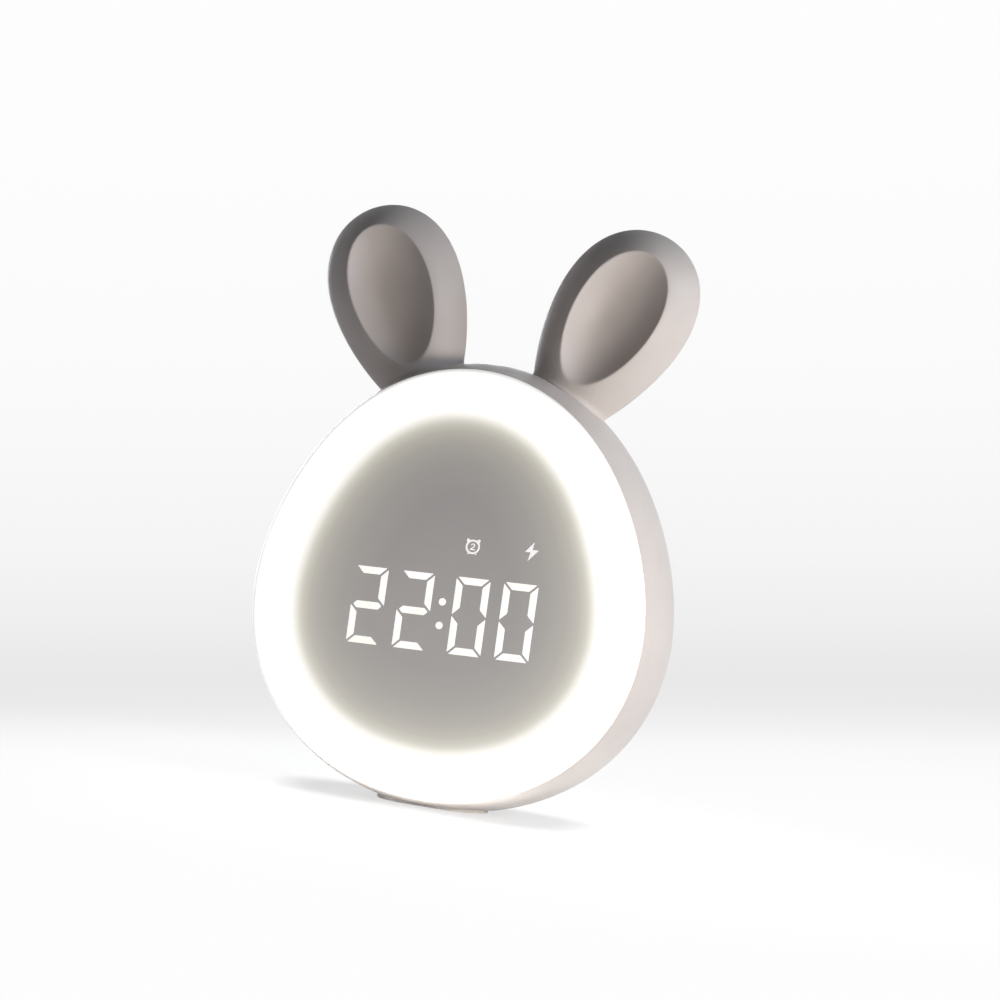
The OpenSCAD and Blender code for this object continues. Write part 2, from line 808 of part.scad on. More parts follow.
module digit_bars() {
    top_bar();
    middle_bar();
    upside_down() top_bar();
    side_bar();
    upside_down() side_bar();
    translate([digit_w, 0]) mirror([1, 0]) {
        side_bar();
        upside_down() side_bar();
    }
}

digit_lefts = [
    -colon_gap/2 - digit_pitch - digit_w, -colon_gap/2 - digit_w,
    colon_gap/2, colon_gap/2 + digit_pitch
];
dot_rise = 0.153*digit_h;
block_q = norm([block_half_w, face_z - block_low_z])/(face_r - panel_edge);
diffuser_y = panel_y(block_q) + panel_t + fit + film_t + free;
block_y = diffuser_y + diffuser_t;

module display_lights() {
    for (x = digit_lefts) translate([x, digits_z - digit_h/2]) digit_bars();
    for (s = [-1, 1]) translate([0, digits_z + s*dot_rise]) circle(dot_d/2, $fn = round_fn);
    for (x = [alarm_x, charge_x]) translate([x, symbols_z])
        circle(symbol_d/2, $fn = round_fn);
}

module display_rectangle() {
    translate([-block_half_w, block_low_z])
        square([2*block_half_w, block_high_z - block_low_z]);
}

module segment_block() {
    color([0.95, 0.95, 0.94]) difference() {
        slab(block_y, thin_board_y) difference() {
            display_rectangle();
            display_lights();
        }
        for (p = display_screws_at)
            pin(p, small_screw_d/2 + fit, ledge_y - small_screw_l - 1, thin_board_y + over);
    }
}

module segment_diffuser() {
    color([0.98, 0.98, 0.97]) slab(diffuser_y, block_y) display_rectangle();
}

module display_board() {
    color([0.1, 0.35, 0.2]) difference() {
        slab(thin_board_y, frame_y) display_rectangle();
        for (p = display_screws_at)
            pin(p, small_screw_d/2 + seam_gap, thin_board_y - over, frame_y + over);
    }
}

// One small diode under every bar, dot and symbol.
module segment_leds() {
    led = [1, 0.6, 0.8];
    c = digit_w/2;
    bar_middles = [
        [c, digit_h - bar_t/2], [c, digit_h/2], [c, bar_t/2],
        for (x = [bar_t/2, digit_w - bar_t/2], z = [0.27, 0.73]) [x, z*digit_h]
    ];
    places = concat(
        [for (x = digit_lefts, m = bar_middles) [x + m[0], digits_z - digit_h/2 + m[1]]],
        [for (s = [-1, 1]) [0, digits_z + s*dot_rise]],
        [for (x = [alarm_x, charge_x]) [x, symbols_z]]
    );
    color([0.98, 0.95, 0.7]) for (p = places)
        translate([p[0], thin_board_y - led[1]/2, p[1]]) cube(led, center = true);
}

// ---- Main board ----

socket_w = 7;
socket_h = 4.5;
socket_t = 3.5;
socket_x = [-26, -13, 26];
socket_low_z = board_z - board_h/2 + 1;
ribbon_socket_w = 12;
ribbon_socket_t = 2;
ribbon_socket_z = board_z - 3;

module main_board() {
    color([0.1, 0.35, 0.2]) difference() {
        slab(board_y, board_back_y) translate([0, board_z]) difference() {
            square([board_w, board_h], center = true);
            for (x = [-1, 1], z = [-1, 1])
                translate([x*board_w/2, z*board_h/2]) circle(1, $fn = round_fn);
        }
        for (p = board_screws_at)
            pin(p, small_screw_d/2 + seam_gap, board_y - over, board_back_y + over);
    }
}

module control_chip() {
    chip = 9;
    chip_t = 1.4;
    at = [18, board_z + 2];
    color([0.12, 0.12, 0.13]) {
        translate([at[0], board_y - chip_t/2 - 0.1, at[1]])
            cube([chip, chip_t, chip], center = true);
        for (turn = [0 : 90 : 270], i = [-4 : 4])
            translate([at[0], board_y, at[1]]) rotate([0, turn, 0])
                translate([i*0.8 - 0.15, -0.5, chip/2 - 0.3]) cube([0.3, 0.5, 1.3]);
    }
}

module lead_sockets() {
    color([0.93, 0.91, 0.85]) {
        for (x = socket_x) difference() {
            box(x - socket_w/2, x + socket_w/2, board_y - socket_t, board_y,
                socket_low_z, socket_low_z + socket_h);
            box(x - socket_w/2 + 0.6, x + socket_w/2 - 0.6, board_y - socket_t + 0.6,
                board_y - 0.6, socket_low_z - over, socket_low_z + socket_h - 1);
        }
        box(-ribbon_socket_w/2, ribbon_socket_w/2, board_y - ribbon_socket_t, board_y,
            ribbon_socket_z, ribbon_socket_z + 4);
    }
}

module tact_switches() {
    color([0.2, 0.2, 0.22]) for (x = button_x) {
        translate([x, board_back_y + switch_t/2, buttons_z])
            cube([switch_w, switch_t, switch_w], center = true);
        pin([x, buttons_z], 0.29*switch_w, board_back_y + switch_t - fit, switch_y);
    }
}

module usb_socket() {
    shell_t = 0.3;
    tongue_w = usb_w - 2.3;
    end_y = rear_y - 0.3;
    color([0.75, 0.75, 0.77]) translate([0, 0, usb_z]) {
        slab(board_back_y + 1, end_y) difference() {
            stadium(usb_w, usb_h);
            stadium(usb_w - 2*shell_t, usb_h - 2*shell_t);
        }
        slab(board_back_y, board_back_y + 3.5) square([usb_w + 1, usb_h + 1], center = true);
        slab(board_back_y + 3, end_y - 1) square([tongue_w, 0.7], center = true);
    }
}

// ---- Buttons ----

// A round cap with a dished face, a flange behind the back wall and a plunger.
module button(x) {
    r = button_d/2;
    face_y = rear_y + button_proud;
    chamfer = 0.5;
    dish_r = 2*button_d;
    dish_sink = 0.35;
    p = [x, buttons_z];
    color([0.8, 0.79, 0.78]) difference() {
        union() {
            pin(p, r, inner_back_y - fit - button_flange_t, face_y - chamfer);
            cone_pin(p, r, r - chamfer, face_y - chamfer, face_y);
            pin(p, r + button_flange_w, inner_back_y - fit - button_flange_t,
                inner_back_y - fit);
            pin(p, r/2, plunger_y, inner_back_y - button_flange_t);
        }
        translate([x, face_y + dish_r - dish_sink, buttons_z]) sphere(dish_r, $fn = 64);
    }
}

module alarm_button() {
    button(button_x[0]);
}

module light_button() {
    button(button_x[1]);
}

module up_button() {
    button(button_x[2]);
}

module down_button() {
    button(button_x[3]);
}

// ---- Cell and loudspeaker ----

module battery_cell() {
    cap_r = 0.35*cell_d/2;
    edge = 0.8;
    r = cell_d/2;
    color([0.25, 0.45, 0.75]) translate([0, cell_y, cell_z]) rotate([0, 90, 0])
        rotate_extrude($fn = 48) polygon([
            [0, -cell_l/2], [r - edge, -cell_l/2], [r, -cell_l/2 + edge],
            [r, cell_l/2 - 1 - edge], [r - edge, cell_l/2 - 1], [cap_r, cell_l/2 - 1],
            [cap_r, cell_l/2], [0, cell_l/2]
        ]);
}

// A profile of [radius, depth towards the front], turned about the speaker's axis.
module speaker_turned() {
    translate([0, speaker_y, speaker_z]) rotate([90, 0, 0])
        rotate_extrude($fn = 48) children();
}

speaker_mouth_r = speaker_r - 3.5;
coil_r = 0.2*speaker_d/2 + 1.2;

module speaker_gasket() {
    color([0.15, 0.15, 0.15]) slab(speaker_y, inner_back_y) translate([0, speaker_z])
        difference() {
            circle(speaker_r, $fn = 48);
            circle(speaker_mouth_r, $fn = 48);
        }
}

module speaker_frame() {
    basket_r = magnet_d/2 + basket_wall;
    color([0.6, 0.6, 0.62]) difference() {
        speaker_turned() polygon([
            [speaker_mouth_r, 0], [speaker_r, 0], [speaker_r, flange_t],
            [speaker_mouth_r + basket_wall, flange_t], [basket_r, basket_h],
            [coil_r + free, basket_h], [coil_r + free, basket_h - basket_wall],
            [basket_r - 1.2*basket_wall, basket_h - basket_wall],
            [speaker_mouth_r, flange_t]
        ]);
        for (a = [45 : 90 : 315]) translate([0, speaker_y, speaker_z]) rotate([0, a, 0])
            translate([-2.5, -basket_h + basket_wall, magnet_d/2 - 1])
            cube([5, basket_h - basket_wall - flange_t, speaker_d/2]);
    }
}

module speaker_cone() {
    rim = speaker_mouth_r - fit;
    t = 0.4;
    color([0.2, 0.2, 0.21]) speaker_turned() polygon([
        [0, 1.6], [coil_r, 2.6], [rim - 3, 0.4], [rim - 1.5, 0], [rim, 0.4],
        [rim, 0.4 + t], [rim - 1.5, t], [rim - 3, 0.4 + t], [coil_r, 2.6 + t],
        [coil_r, basket_h], [coil_r - t, basket_h], [coil_r - t, 2.4 + t], [0, 1.6 + t]
    ]);
}

module speaker_magnet() {
    r = magnet_d/2;
    edge = 0.5;
    color([0.3, 0.3, 0.32]) speaker_turned() polygon([
        [0, basket_h], [r, basket_h], [r, basket_h + magnet_t - edge],
        [r - edge, basket_h + magnet_t], [0, basket_h + magnet_t]
    ]);
}

module speaker_bracket() {
    color([0.85, 0.85, 0.83]) difference() {
        slab(bracket_y - bracket_t, bracket_y) translate([0, speaker_z]) difference() {
            union() {
                square([2*bracket_screw_x, 8], center = true);
                for (s = [-1, 1]) translate([s*bracket_screw_x, 0])
                    circle(board_boss_r + 1.4, $fn = round_fn);
                circle(magnet_d/2 - 1, $fn = 48);
            }
            circle(magnet_d/4, $fn = 48);
        }
        for (p = bracket_screws_at)
            pin(p, small_screw_d/2 + seam_gap, bracket_y - bracket_t - over,
                bracket_y + over);
    }
}

// ---- Screws ----

module case_screws() {
    color([0.62, 0.62, 0.64]) for (a = case_screw_angles)
        screw(case_screw_at(a), case_seat_y, case_screw_d, case_screw_l);
}

module frame_screws() {
    color([0.62, 0.62, 0.64]) for (i = [0 : frame_screw_count - 1])
        screw(frame_screw_at(i), frame_y, small_screw_d, small_screw_l, -1);
}

module display_screws() {
    color([0.62, 0.62, 0.64]) for (p = display_screws_at)
        screw(p, ledge_y, small_screw_d, small_screw_l);
}

module board_screws() {
    color([0.62, 0.62, 0.64]) for (p = board_screws_at)
        screw(p, board_y, small_screw_d, small_screw_l, -1);
}

module bracket_screws() {
    color([0.62, 0.62, 0.64]) for (p = bracket_screws_at)
        screw(p, bracket_y - bracket_t, small_screw_d, small_screw_l, -1);
}

// ---- Inner leads ----

lead_r = 0.6;
lead_spread = 0.8;
lead_steps = 3;
lead_sides = 8;

// A point at share u between p1 and p2 on the smooth curve through p0 to p3.
function curve_point(p0, p1, p2, p3, u) =
    0.5*(2*p1 + (p2 - p0)*u + (2*p0 - 5*p1 + 4*p2 - p3)*u*u
        + (3*p1 - p0 - 3*p2 + p3)*u*u*u);
function smooth(route) = [
    for (i = [0 : len(route) - 2], k = [0 : lead_steps - 1])
        curve_point(route[max(i - 1, 0)], route[i], route[i + 1],
            route[min(i + 2, len(route) - 1)], k/lead_steps),
    route[len(route) - 1]
];
function unit(v) = v/norm(v);
function path_way(path, i) =
    unit(path[min(i + 1, len(path) - 1)] - path[max(i - 1, 0)]);

// A round lead along a route. The two leads of a pair lie at either side of it.
module lead(route, side) {
    path = smooth(route);
    guide = [1, -1, 0.4];
    across = [for (i = [0 : len(path) - 1]) unit(cross(path_way(path, i), guide))];
    along = [for (i = [0 : len(path) - 1]) cross(path_way(path, i), across[i])];
    middle = [
        for (i = [0 : len(path) - 1])
            path[i] + side*lead_spread*unit(across[i] - along[i])
    ];
    rings = [
        for (i = [0 : len(path) - 1])
            [for (k = [0 : lead_sides - 1])
                let (a = 360*k/lead_sides)
                middle[i] + lead_r*(cos(a)*across[i] + sin(a)*along[i])]
    ];
    skin(rings, middle[0], middle[len(path) - 1]);
}

lead_end_z = socket_low_z + 1;
lead_end_y = board_y - socket_t/2;

module battery_leads() {
    x = socket_x[2];
    route = [
        [cell_l/2 - 2, cell_y - cell_d/2 - lead_r, cell_z + 2],
        [cell_l/2 + 2, cell_y - cell_d/2 - 1.5, cell_z + 8],
        [cell_l/2 + 3, 0, 44], [cell_l/2, 2, 58],
        [x + 1, lead_end_y - 1, socket_low_z - 8], [x, lead_end_y, lead_end_z]
    ];
    color([0.75, 0.1, 0.1]) for (s = [-1, 1]) lead(route, s);
}

module speaker_leads() {
    x = socket_x[0];
    route = [
        [-speaker_r + 3.8, speaker_y - 2.6, speaker_z + 4],
        [-speaker_r - 1, speaker_y - 5, speaker_z + 9],
        [-speaker_r - 5, 5, socket_low_z - 7], [x, lead_end_y, socket_low_z - 3],
        [x, lead_end_y, lead_end_z]
    ];
    color([0.12, 0.12, 0.12]) for (s = [-1, 1]) lead(route, s);
}

module ring_leads() {
    x = socket_x[1];
    at = wire_hole_at;
    route = [
        [at[0], thin_board_y + 0.3, at[1]], [at[0], ledge_y + 3, at[1]],
        [at[0] + 6, 0, at[1] - 3], [-26, 2.5, socket_low_z - 8],
        [x - 2, lead_end_y - 1.5, socket_low_z - 7], [x, lead_end_y, socket_low_z - 2],
        [x, lead_end_y, lead_end_z]
    ];
    color([0.9, 0.9, 0.9]) for (s = [-1, 1]) lead(route, s);
}

// A flat ribbon, drawn as a path in Y and Z.
module display_ribbon() {
    ribbon_w = 10;
    half_t = 0.2;
    route = [
        [frame_y + half_t, digits_z - 3], [frame_y + 3, digits_z - 1], [-2, 70],
        [board_y - 5, ribbon_socket_z - 8], [board_y - 1, ribbon_socket_z - 3],
        [board_y - 1, ribbon_socket_z - fit]
    ];
    path = smooth(route);
    sides = [
        for (i = [0 : len(path) - 1])
            let (t = path_way(path, i))
            half_t*[-t[1], t[0]]
    ];
    last = len(path) - 1;
    outline = concat(
        [for (i = [0 : last]) path[i] + sides[i]],
        [for (i = [last : -1 : 0]) path[i] - sides[i]]
    );
    color([0.85, 0.85, 0.88]) translate([-ribbon_w/2, 0, 0]) rotate([90, 0, 90])
        linear_extrude(ribbon_w) polygon(outline);
}

// ---- Draw ----

front_panel();
display_film();
front_housing();
rear_housing();
base_pad();
inner_frame();
ring_board();
ring_leds();
segment_block();
segment_diffuser();
display_board();
segment_leds();
main_board();
control_chip();
lead_sockets();
tact_switches();
usb_socket();
alarm_button();
light_button();
up_button();
down_button();
battery_cell();
speaker_gasket();
speaker_frame();
speaker_cone();
speaker_magnet();
speaker_bracket();
case_screws();
frame_screws();
display_screws();
board_screws();
bracket_screws();
battery_leads();
speaker_leads();
ring_leads();
display_ribbon();
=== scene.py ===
"""Looks of a kids alarm clock with a ring night light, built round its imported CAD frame.

+X is to the right seen from the front, +Y to the back, +Z up; the origin is the middle of
the base pad's underside. Most surfaces below are grids of points: rows run along a profile
and columns run round an outline.
"""

import math

import bmesh
import bpy
import numpy as np
from bpy.props import FloatProperty, FloatVectorProperty, IntProperty, PointerProperty
from mathutils import Matrix, Vector
from mathutils.geometry import tessellate_polygon

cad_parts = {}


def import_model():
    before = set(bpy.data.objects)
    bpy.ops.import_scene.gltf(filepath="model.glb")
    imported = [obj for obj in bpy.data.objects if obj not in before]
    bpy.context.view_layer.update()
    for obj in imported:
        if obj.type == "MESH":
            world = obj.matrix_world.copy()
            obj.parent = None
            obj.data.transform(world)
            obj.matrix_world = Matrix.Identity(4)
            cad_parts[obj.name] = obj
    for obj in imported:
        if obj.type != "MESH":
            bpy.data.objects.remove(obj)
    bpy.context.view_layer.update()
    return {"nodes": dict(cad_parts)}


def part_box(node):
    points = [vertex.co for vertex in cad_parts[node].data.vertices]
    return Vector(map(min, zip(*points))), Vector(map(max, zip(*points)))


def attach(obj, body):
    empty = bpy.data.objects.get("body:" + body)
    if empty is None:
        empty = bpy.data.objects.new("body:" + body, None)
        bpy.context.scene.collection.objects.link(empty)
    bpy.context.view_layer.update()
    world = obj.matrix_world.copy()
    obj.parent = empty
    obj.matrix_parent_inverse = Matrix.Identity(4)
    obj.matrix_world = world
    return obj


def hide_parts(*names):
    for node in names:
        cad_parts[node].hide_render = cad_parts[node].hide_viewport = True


bl_info = {
    "name": "Night light alarm clock",
    "version": (1, 0, 0),
    "blender": (4, 5, 0),
    "location": "View3D > Sidebar > Clock",
    "description": "Builds the glowing face, the lit digits and the moulded shells of a bedside clock",
    "category": "Object",
}

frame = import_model()

MM = 0.001
BODY = "clock"
SHELL_SLOT = "shell_white"
WHITE = 0.985
# Edges over this many degrees stay crisp.
CRISP = 35
# Chamfer of both mouldings where they meet, and of the case at the face.
SEAM_EDGE = 0.14 * MM
# Depth of the recess round the buttons.
RECESS = 0.6 * MM
# How far an inlay stands proud of the face, and how deep it goes.
PROUD = 0.02 * MM
SUNK = 0.25 * MM
# The face's UV map counts the distance inwards in shares of this many millimetres.
INWARD_SPAN = 70
NO_TRIANGLES = np.zeros((0, 3), int)
# Exponents of an ear's dish and back: the higher, the flatter its middle.
DISH_POWER = 2.6
BACK_POWER = 2.4


# ---- Sizes and colours that a user may change ----


def length(name, description, default, low=0):
    """A size property in metres, given here in millimetres."""
    return FloatProperty(name=name, description=description, default=default * MM,
                         min=low * MM, unit="LENGTH", subtype="DISTANCE", precision=5)


def angle(name, description, default):
    """An angle property, given here in degrees."""
    return FloatProperty(name=name, description=description, default=math.radians(default),
                         subtype="ANGLE")


def ratio(name, description, default, low, high):
    """A property without a unit, between low and high."""
    return FloatProperty(name=name, description=description, default=default,
                         min=low, max=high)


def tint(name, description, default):
    """A colour property."""
    return FloatVectorProperty(name=name, description=description, default=default,
                               size=3, min=0, max=1, subtype="COLOR")


class ClockSizes(bpy.types.PropertyGroup):
    """Sizes of the face, the case, the ears and the display."""

    face_radius: length("Face radius", "Mean radius of the face outline", 64.7)
    face_tall: length("Face height", "How far the outline is stretched upwards", 2.55)
    face_lobe: length("Face lobes", "Swelling at the top and both lower corners", 2.03)
    face_height: length("Face middle", "Height of the middle of the face", 68.12)
    seam: length("Front seam", "Depth of the front seam", -20, -50)
    parting: length("Parting line", "Depth of the parting line", 5)
    rear: length("Back", "Depth of the flat back", 20)
    wall: length("Wall", "Wall thickness of the shells", 2.2)
    bulge: length("Bulge", "How far the side wall swells past the face outline", 4.7)
    bulge_depth: length("Bulge depth", "Depth behind the seam of the widest place", 28)
    back_edge: length("Back edge", "Radius of the edge round the flat back", 6)
    floor: length("Floor", "Height of the flat of the base", 0.8)
    panel_wall: length("Panel wall", "Wall thickness of the front panel", 1.8)
    panel_edge: length("Panel edge", "Height of the rounded edge of the panel", 2.2)
    panel_dome: length("Panel dome", "Height of the dome over that edge", 3.3)
    ear_x: length("Ear place across", "Distance of an ear's middle from the centre plane", 34.044)
    ear_z: length("Ear height", "Height of an ear's middle", 155.438)
    ear_lean: angle("Ear lean", "Outward lean of an ear", 25.1)
    ear_width: length("Ear width", "Width of an ear", 43)
    ear_length: length("Ear length", "Length of an ear", 73.9)
    ear_taper: ratio("Ear taper", "How much wider an ear is above", 0.3, 0, 0.4)
    rim: length("Ear rim", "Width of the rim round the dish", 8.25)
    rim_foot: length("Ear foot", "Width of the rim at the foot of the dish", 18.6)
    dish_taper: ratio("Dish taper", "How much wider a dish is above", 0.12, 0, 0.3)
    crest: length("Ear crest", "Height of the rim's crest over the parting line", 9)
    rim_power: ratio("Rim roundness", "1 is a straight cone, 2 a quarter ellipse", 1.2, 1, 3)
    dish: length("Dish depth", "Depth of the dish below its crest", 7)
    ear_back: length("Ear back", "Depth of an ear's rounded back", 9.5)
    root_blend: length("Ear root blend", "Radius of the blend where an ear meets the case", 2.2)
    digit_height: length("Digit height", "Height of one digit", 23.9)
    digit_width: length("Digit width", "Width of one digit", 10.7)
    digit_pitch: length("Digit pitch", "Distance from one digit to the next", 14.9)
    colon_gap: length("Colon gap", "Clear width between the middle digits", 6.9)
    bar: length("Bar", "Thickness of a bar of a digit", 2.2)
    bar_gap: length("Bar gap", "Dark gap between two bars", 0.7)
    dot: length("Colon dot", "Diameter of a colon dot", 2.3)
    digits_z: length("Digit row", "Height of the middle of the digits", 60.72)
    symbols_z: length("Symbols", "Height of the two symbols", 82.9)
    alarm_x: length("Alarm symbol", "Place of the alarm symbol", 7)
    charge_x: length("Charge symbol", "Place of the charge symbol", 25.4)
    digit_row_slope: angle("Row slope", "Rise of the display's rows to the right", 1.5)
    buttons_z: length("Buttons", "Height of the row of buttons", 97.12)
    button: length("Button", "Diameter of a button", 8)
    button_pitch: length("Button pitch", "Distance from one button to the next", 16)
    usb_z: length("Charging socket", "Height of the charging socket", 84.12)
    speaker_z: length("Loudspeaker", "Height of the loudspeaker's middle", 54.12)
    well: length("Screw well", "Diameter of a screw well", 5.41)
    columns: IntProperty(name="Columns", description="Columns round an outline",
                         default=288, min=24, max=720)


class ClockColours(bpy.types.PropertyGroup):
    """Colours of the visible pieces."""

    shell: tint("Shell", "Moulded shells and ears", (0.74, 0.688, 0.658))
    screen: tint("Screen", "Tinted middle of the face", (0.2, 0.19, 0.187))
    ring: tint("Ring", "Light of the ring", (1.0, 0.995, 0.96))
    digits: tint("Digits", "Light of the digits", (1.0, 0.97, 0.965))
    button: tint("Buttons", "Button caps", (0.6, 0.56, 0.55))
    marks: tint("Marks", "Printed marks under the buttons", (0.3, 0.28, 0.28))
    floor: tint("Floor", "Floor under the clock", (0.9, 0.9, 0.9))


def sizes():
    return bpy.context.scene.clock_sizes


def colours():
    return bpy.context.scene.clock_colours


# ---- Outlines and profiles ----


def turn(count):
    """Angles of count columns, clockwise from the top seen from the front."""
    return np.arange(count) * (2 * np.pi / count)


def ear_turn(count):
    """Angles round an ear, twice as dense at its foot: t + 0.5 sin t."""
    t = turn(count)
    return t + 0.5 * np.sin(t)


def outline_radius(angle):
    """Radius of the face outline, mean + tall*cos(2a) + lobe*cos(3a), and its slope."""
    s = sizes()
    r = s.face_radius + s.face_tall * np.cos(2 * angle) + s.face_lobe * np.cos(3 * angle)
    return r, -2 * s.face_tall * np.sin(2 * angle) - 3 * s.face_lobe * np.sin(3 * angle)


def face_point(angle, off=0.0):
    """Point of the face outline at radius r with slope r', moved outwards by off.

    The outward normal is (r*sin a - r'*cos a, r*cos a + r'*sin a), divided by its length.
    """
    r, dr = outline_radius(angle)
    n = np.hypot(r, dr)
    x = r * np.sin(angle) + off * (r * np.sin(angle) - dr * np.cos(angle)) / n
    z = r * np.cos(angle) + off * (r * np.cos(angle) + dr * np.sin(angle)) / n
    return x, z + sizes().face_height


def barrel(depth):
    """Swelling of the side wall: bulge * (1 - ((d - d0) / d0)^2)."""
    s = sizes()
    return s.bulge * (1 - ((depth - s.bulge_depth) / s.bulge_depth) ** 2)


def panel_y(q):
    """Front face of the panel at scale q: the seam, less the edge, less a parabola."""
    s = sizes()
    return s.seam - s.panel_edge - s.panel_dome * (1 - q * q)


def egg(b, width, height, taper, off=0.0):
    """Egg outline: x = w/2 sin b (1 + taper cos b), y = h/2 cos b, moved outwards by off."""
    du = width / 2 * (np.cos(b) + taper * np.cos(2 * b))
    dv = -height / 2 * np.sin(b)
    n = np.hypot(du, dv)
    u = width / 2 * np.sin(b) * (1 + taper * np.cos(b)) - off * dv / n
    v = height / 2 * np.cos(b) + off * du / n
    return np.array([u, v])


def ear_egg(off=0.0):
    """Outline of an ear, moved outwards by off."""
    s = sizes()
    return egg(ear_turn(s.columns), s.ear_width, s.ear_length, s.ear_taper, off)


def ear_place(u, v, side):
    """Puts an ear's own (u, v) on the case: leaned outwards, at its place, right or left."""
    s = sizes()
    c, d = math.cos(s.ear_lean), math.sin(s.ear_lean)
    return side * (s.ear_x + u * c + v * d), s.ear_z - u * d + v * c


def parabola(start, corner, end, t):
    """Point at t of the parabola from start to end whose tangents meet at corner."""
    return (1 - t) ** 2 * start + 2 * t * (1 - t) * corner + t * t * end


def row(x, y, z):
    """A row of points from arrays and single numbers."""
    return np.stack(np.broadcast_arrays(x, y, z), -1)


def at_depth(loop, y):
    """An outline of (x, z) points carried to depth y."""
    return row(loop[..., 0], y, loop[..., 1])


# ---- Meshes ----


def mesh_of(name, points, quads, triangles=NO_TRIANGLES):
    """A smooth mesh from point, quad and triangle arrays."""
    mesh = bpy.data.meshes.new(name)
    loops = np.concatenate([quads.reshape(-1), triangles.reshape(-1)]).astype(np.int32)
    totals = np.repeat([4, 3], [len(quads), len(triangles)])
    starts = np.concatenate([[0], np.cumsum(totals)[:-1]]).astype(np.int32)
    mesh.vertices.add(len(points))
    mesh.vertices.foreach_set("co", np.asarray(points, np.float32).reshape(-1))
    mesh.loops.add(len(loops))
    mesh.loops.foreach_set("vertex_index", loops)
    mesh.polygons.add(len(totals))
    mesh.polygons.foreach_set("loop_start", starts)
    mesh.update(calc_edges=True)
    mesh.validate()
    smooth(mesh)
    return mesh


def closed_mesh(name, parts):
    """A mesh of closed skins whose faces all point outwards, which a mirrored ear needs.

    Each part is a point, a quad and a triangle array.
    """
    starts = np.cumsum([0] + [len(points) for points, quads, triangles in parts])
    mesh = mesh_of(name, *(
        np.concatenate([part[k] + (start if k else 0) for part, start in zip(parts, starts)])
        for k in range(3)))
    bm = bmesh.new()
    bm.from_mesh(mesh)
    bmesh.ops.remove_doubles(bm, verts=bm.verts, dist=1e-7)
    bmesh.ops.recalc_face_normals(bm, faces=bm.faces)
    bm.to_mesh(mesh)
    bm.free()
    return mesh


def smooth(mesh, sharp=CRISP):
    """Smooth shading, with edges over sharp degrees left crisp."""
    mesh.polygons.foreach_set("use_smooth", np.ones(len(mesh.polygons), bool))
    mesh.set_sharp_from_angle(angle=math.radians(sharp))


def skin(rows, front_tip=None, back_tip=None):
    """Points, quads and triangles of rows of equal loops; open ends get a fan to a tip.

    Without tips the rows close into a ring.
    """
    rows = np.array(rows)
    count, columns = rows.shape[:2]
    points = rows.reshape(-1, 3)
    here = np.arange(columns)
    beside = (here + 1) % columns
    start = np.arange(count if front_tip is None else count - 1)[:, None] * columns
    after = (start + columns) % len(points)
    quads = np.stack([start + here, start + beside, after + beside, after + here], -1)
    quads = quads.reshape(-1, 4)
    if front_tip is None:
        return points, quads, NO_TRIANGLES
    tip, last = np.full(columns, len(points)), len(points) - columns
    fans = np.concatenate([np.stack([tip, beside, here], -1),
                           np.stack([tip + 1, last + here, last + beside], -1)])
    return np.concatenate([points, [front_tip], [back_tip]]), quads, fans


def linked(name, data):
    """A new object in the scene."""
    thing = bpy.data.objects.new(name, data)
    bpy.context.scene.collection.objects.link(thing)
    return thing


def add_object(name, mesh, slot, *nodes):
    """Links a mesh as a piece that rides on the case and stands for the named CAD nodes."""
    piece = linked(name, mesh)
    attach(piece, BODY)
    if nodes:
        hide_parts(*nodes)


def closed_piece(name, parts, finish, slot, *nodes):
    """A piece made of closed skins, with its finish."""
    mesh = closed_mesh(name, parts)
    smooth(mesh)
    mesh.materials.append(finish.material)
    add_object(name, mesh, slot, *nodes)


def prism(loop, depths, grows):
    """A closed tube over an outline of (x, z) points: row k lies at depths[k], grown by grows[k].

    A point grows along the outline's own normal, (dz, -dx) over its length.
    """
    along = np.roll(loop, -1, 0) - np.roll(loop, 1, 0)
    normal = np.stack([along[:, 1], -along[:, 0]], -1)
    normal /= np.linalg.norm(normal, axis=1)[:, None]
    centre = loop.mean(0)
    if ((loop - centre) * normal).sum() < 0:
        normal = -normal
    rows = [at_depth(loop + grow * normal, depth) for depth, grow in zip(depths, grows)]
    return skin(rows, at_depth(centre, depths[0]), at_depth(centre, depths[-1]))


def circle(x, z, radius, count=40):
    """Outline of a circle."""
    a = turn(count)
    return np.stack([x + radius * np.sin(a), z + radius * np.cos(a)], -1)


def stadium(x, z, width, height, count=64):
    """Outline with two half-round ends."""
    a = turn(count) + np.pi / count
    r = height / 2
    shift = (width / 2 - r) * np.sign(np.sin(a))
    return np.stack([x + shift + r * np.sin(a), z + r * np.cos(a)], -1)


# ---- Materials ----


def shade(colour, factor):
    """A colour times a factor."""
    return tuple(min(1.0, c * factor) for c in colour)


def rgba(value):
    """A colour socket's value from a colour or a grey."""
    return (*value, 1) if hasattr(value, "__len__") else (value, value, value, 1)


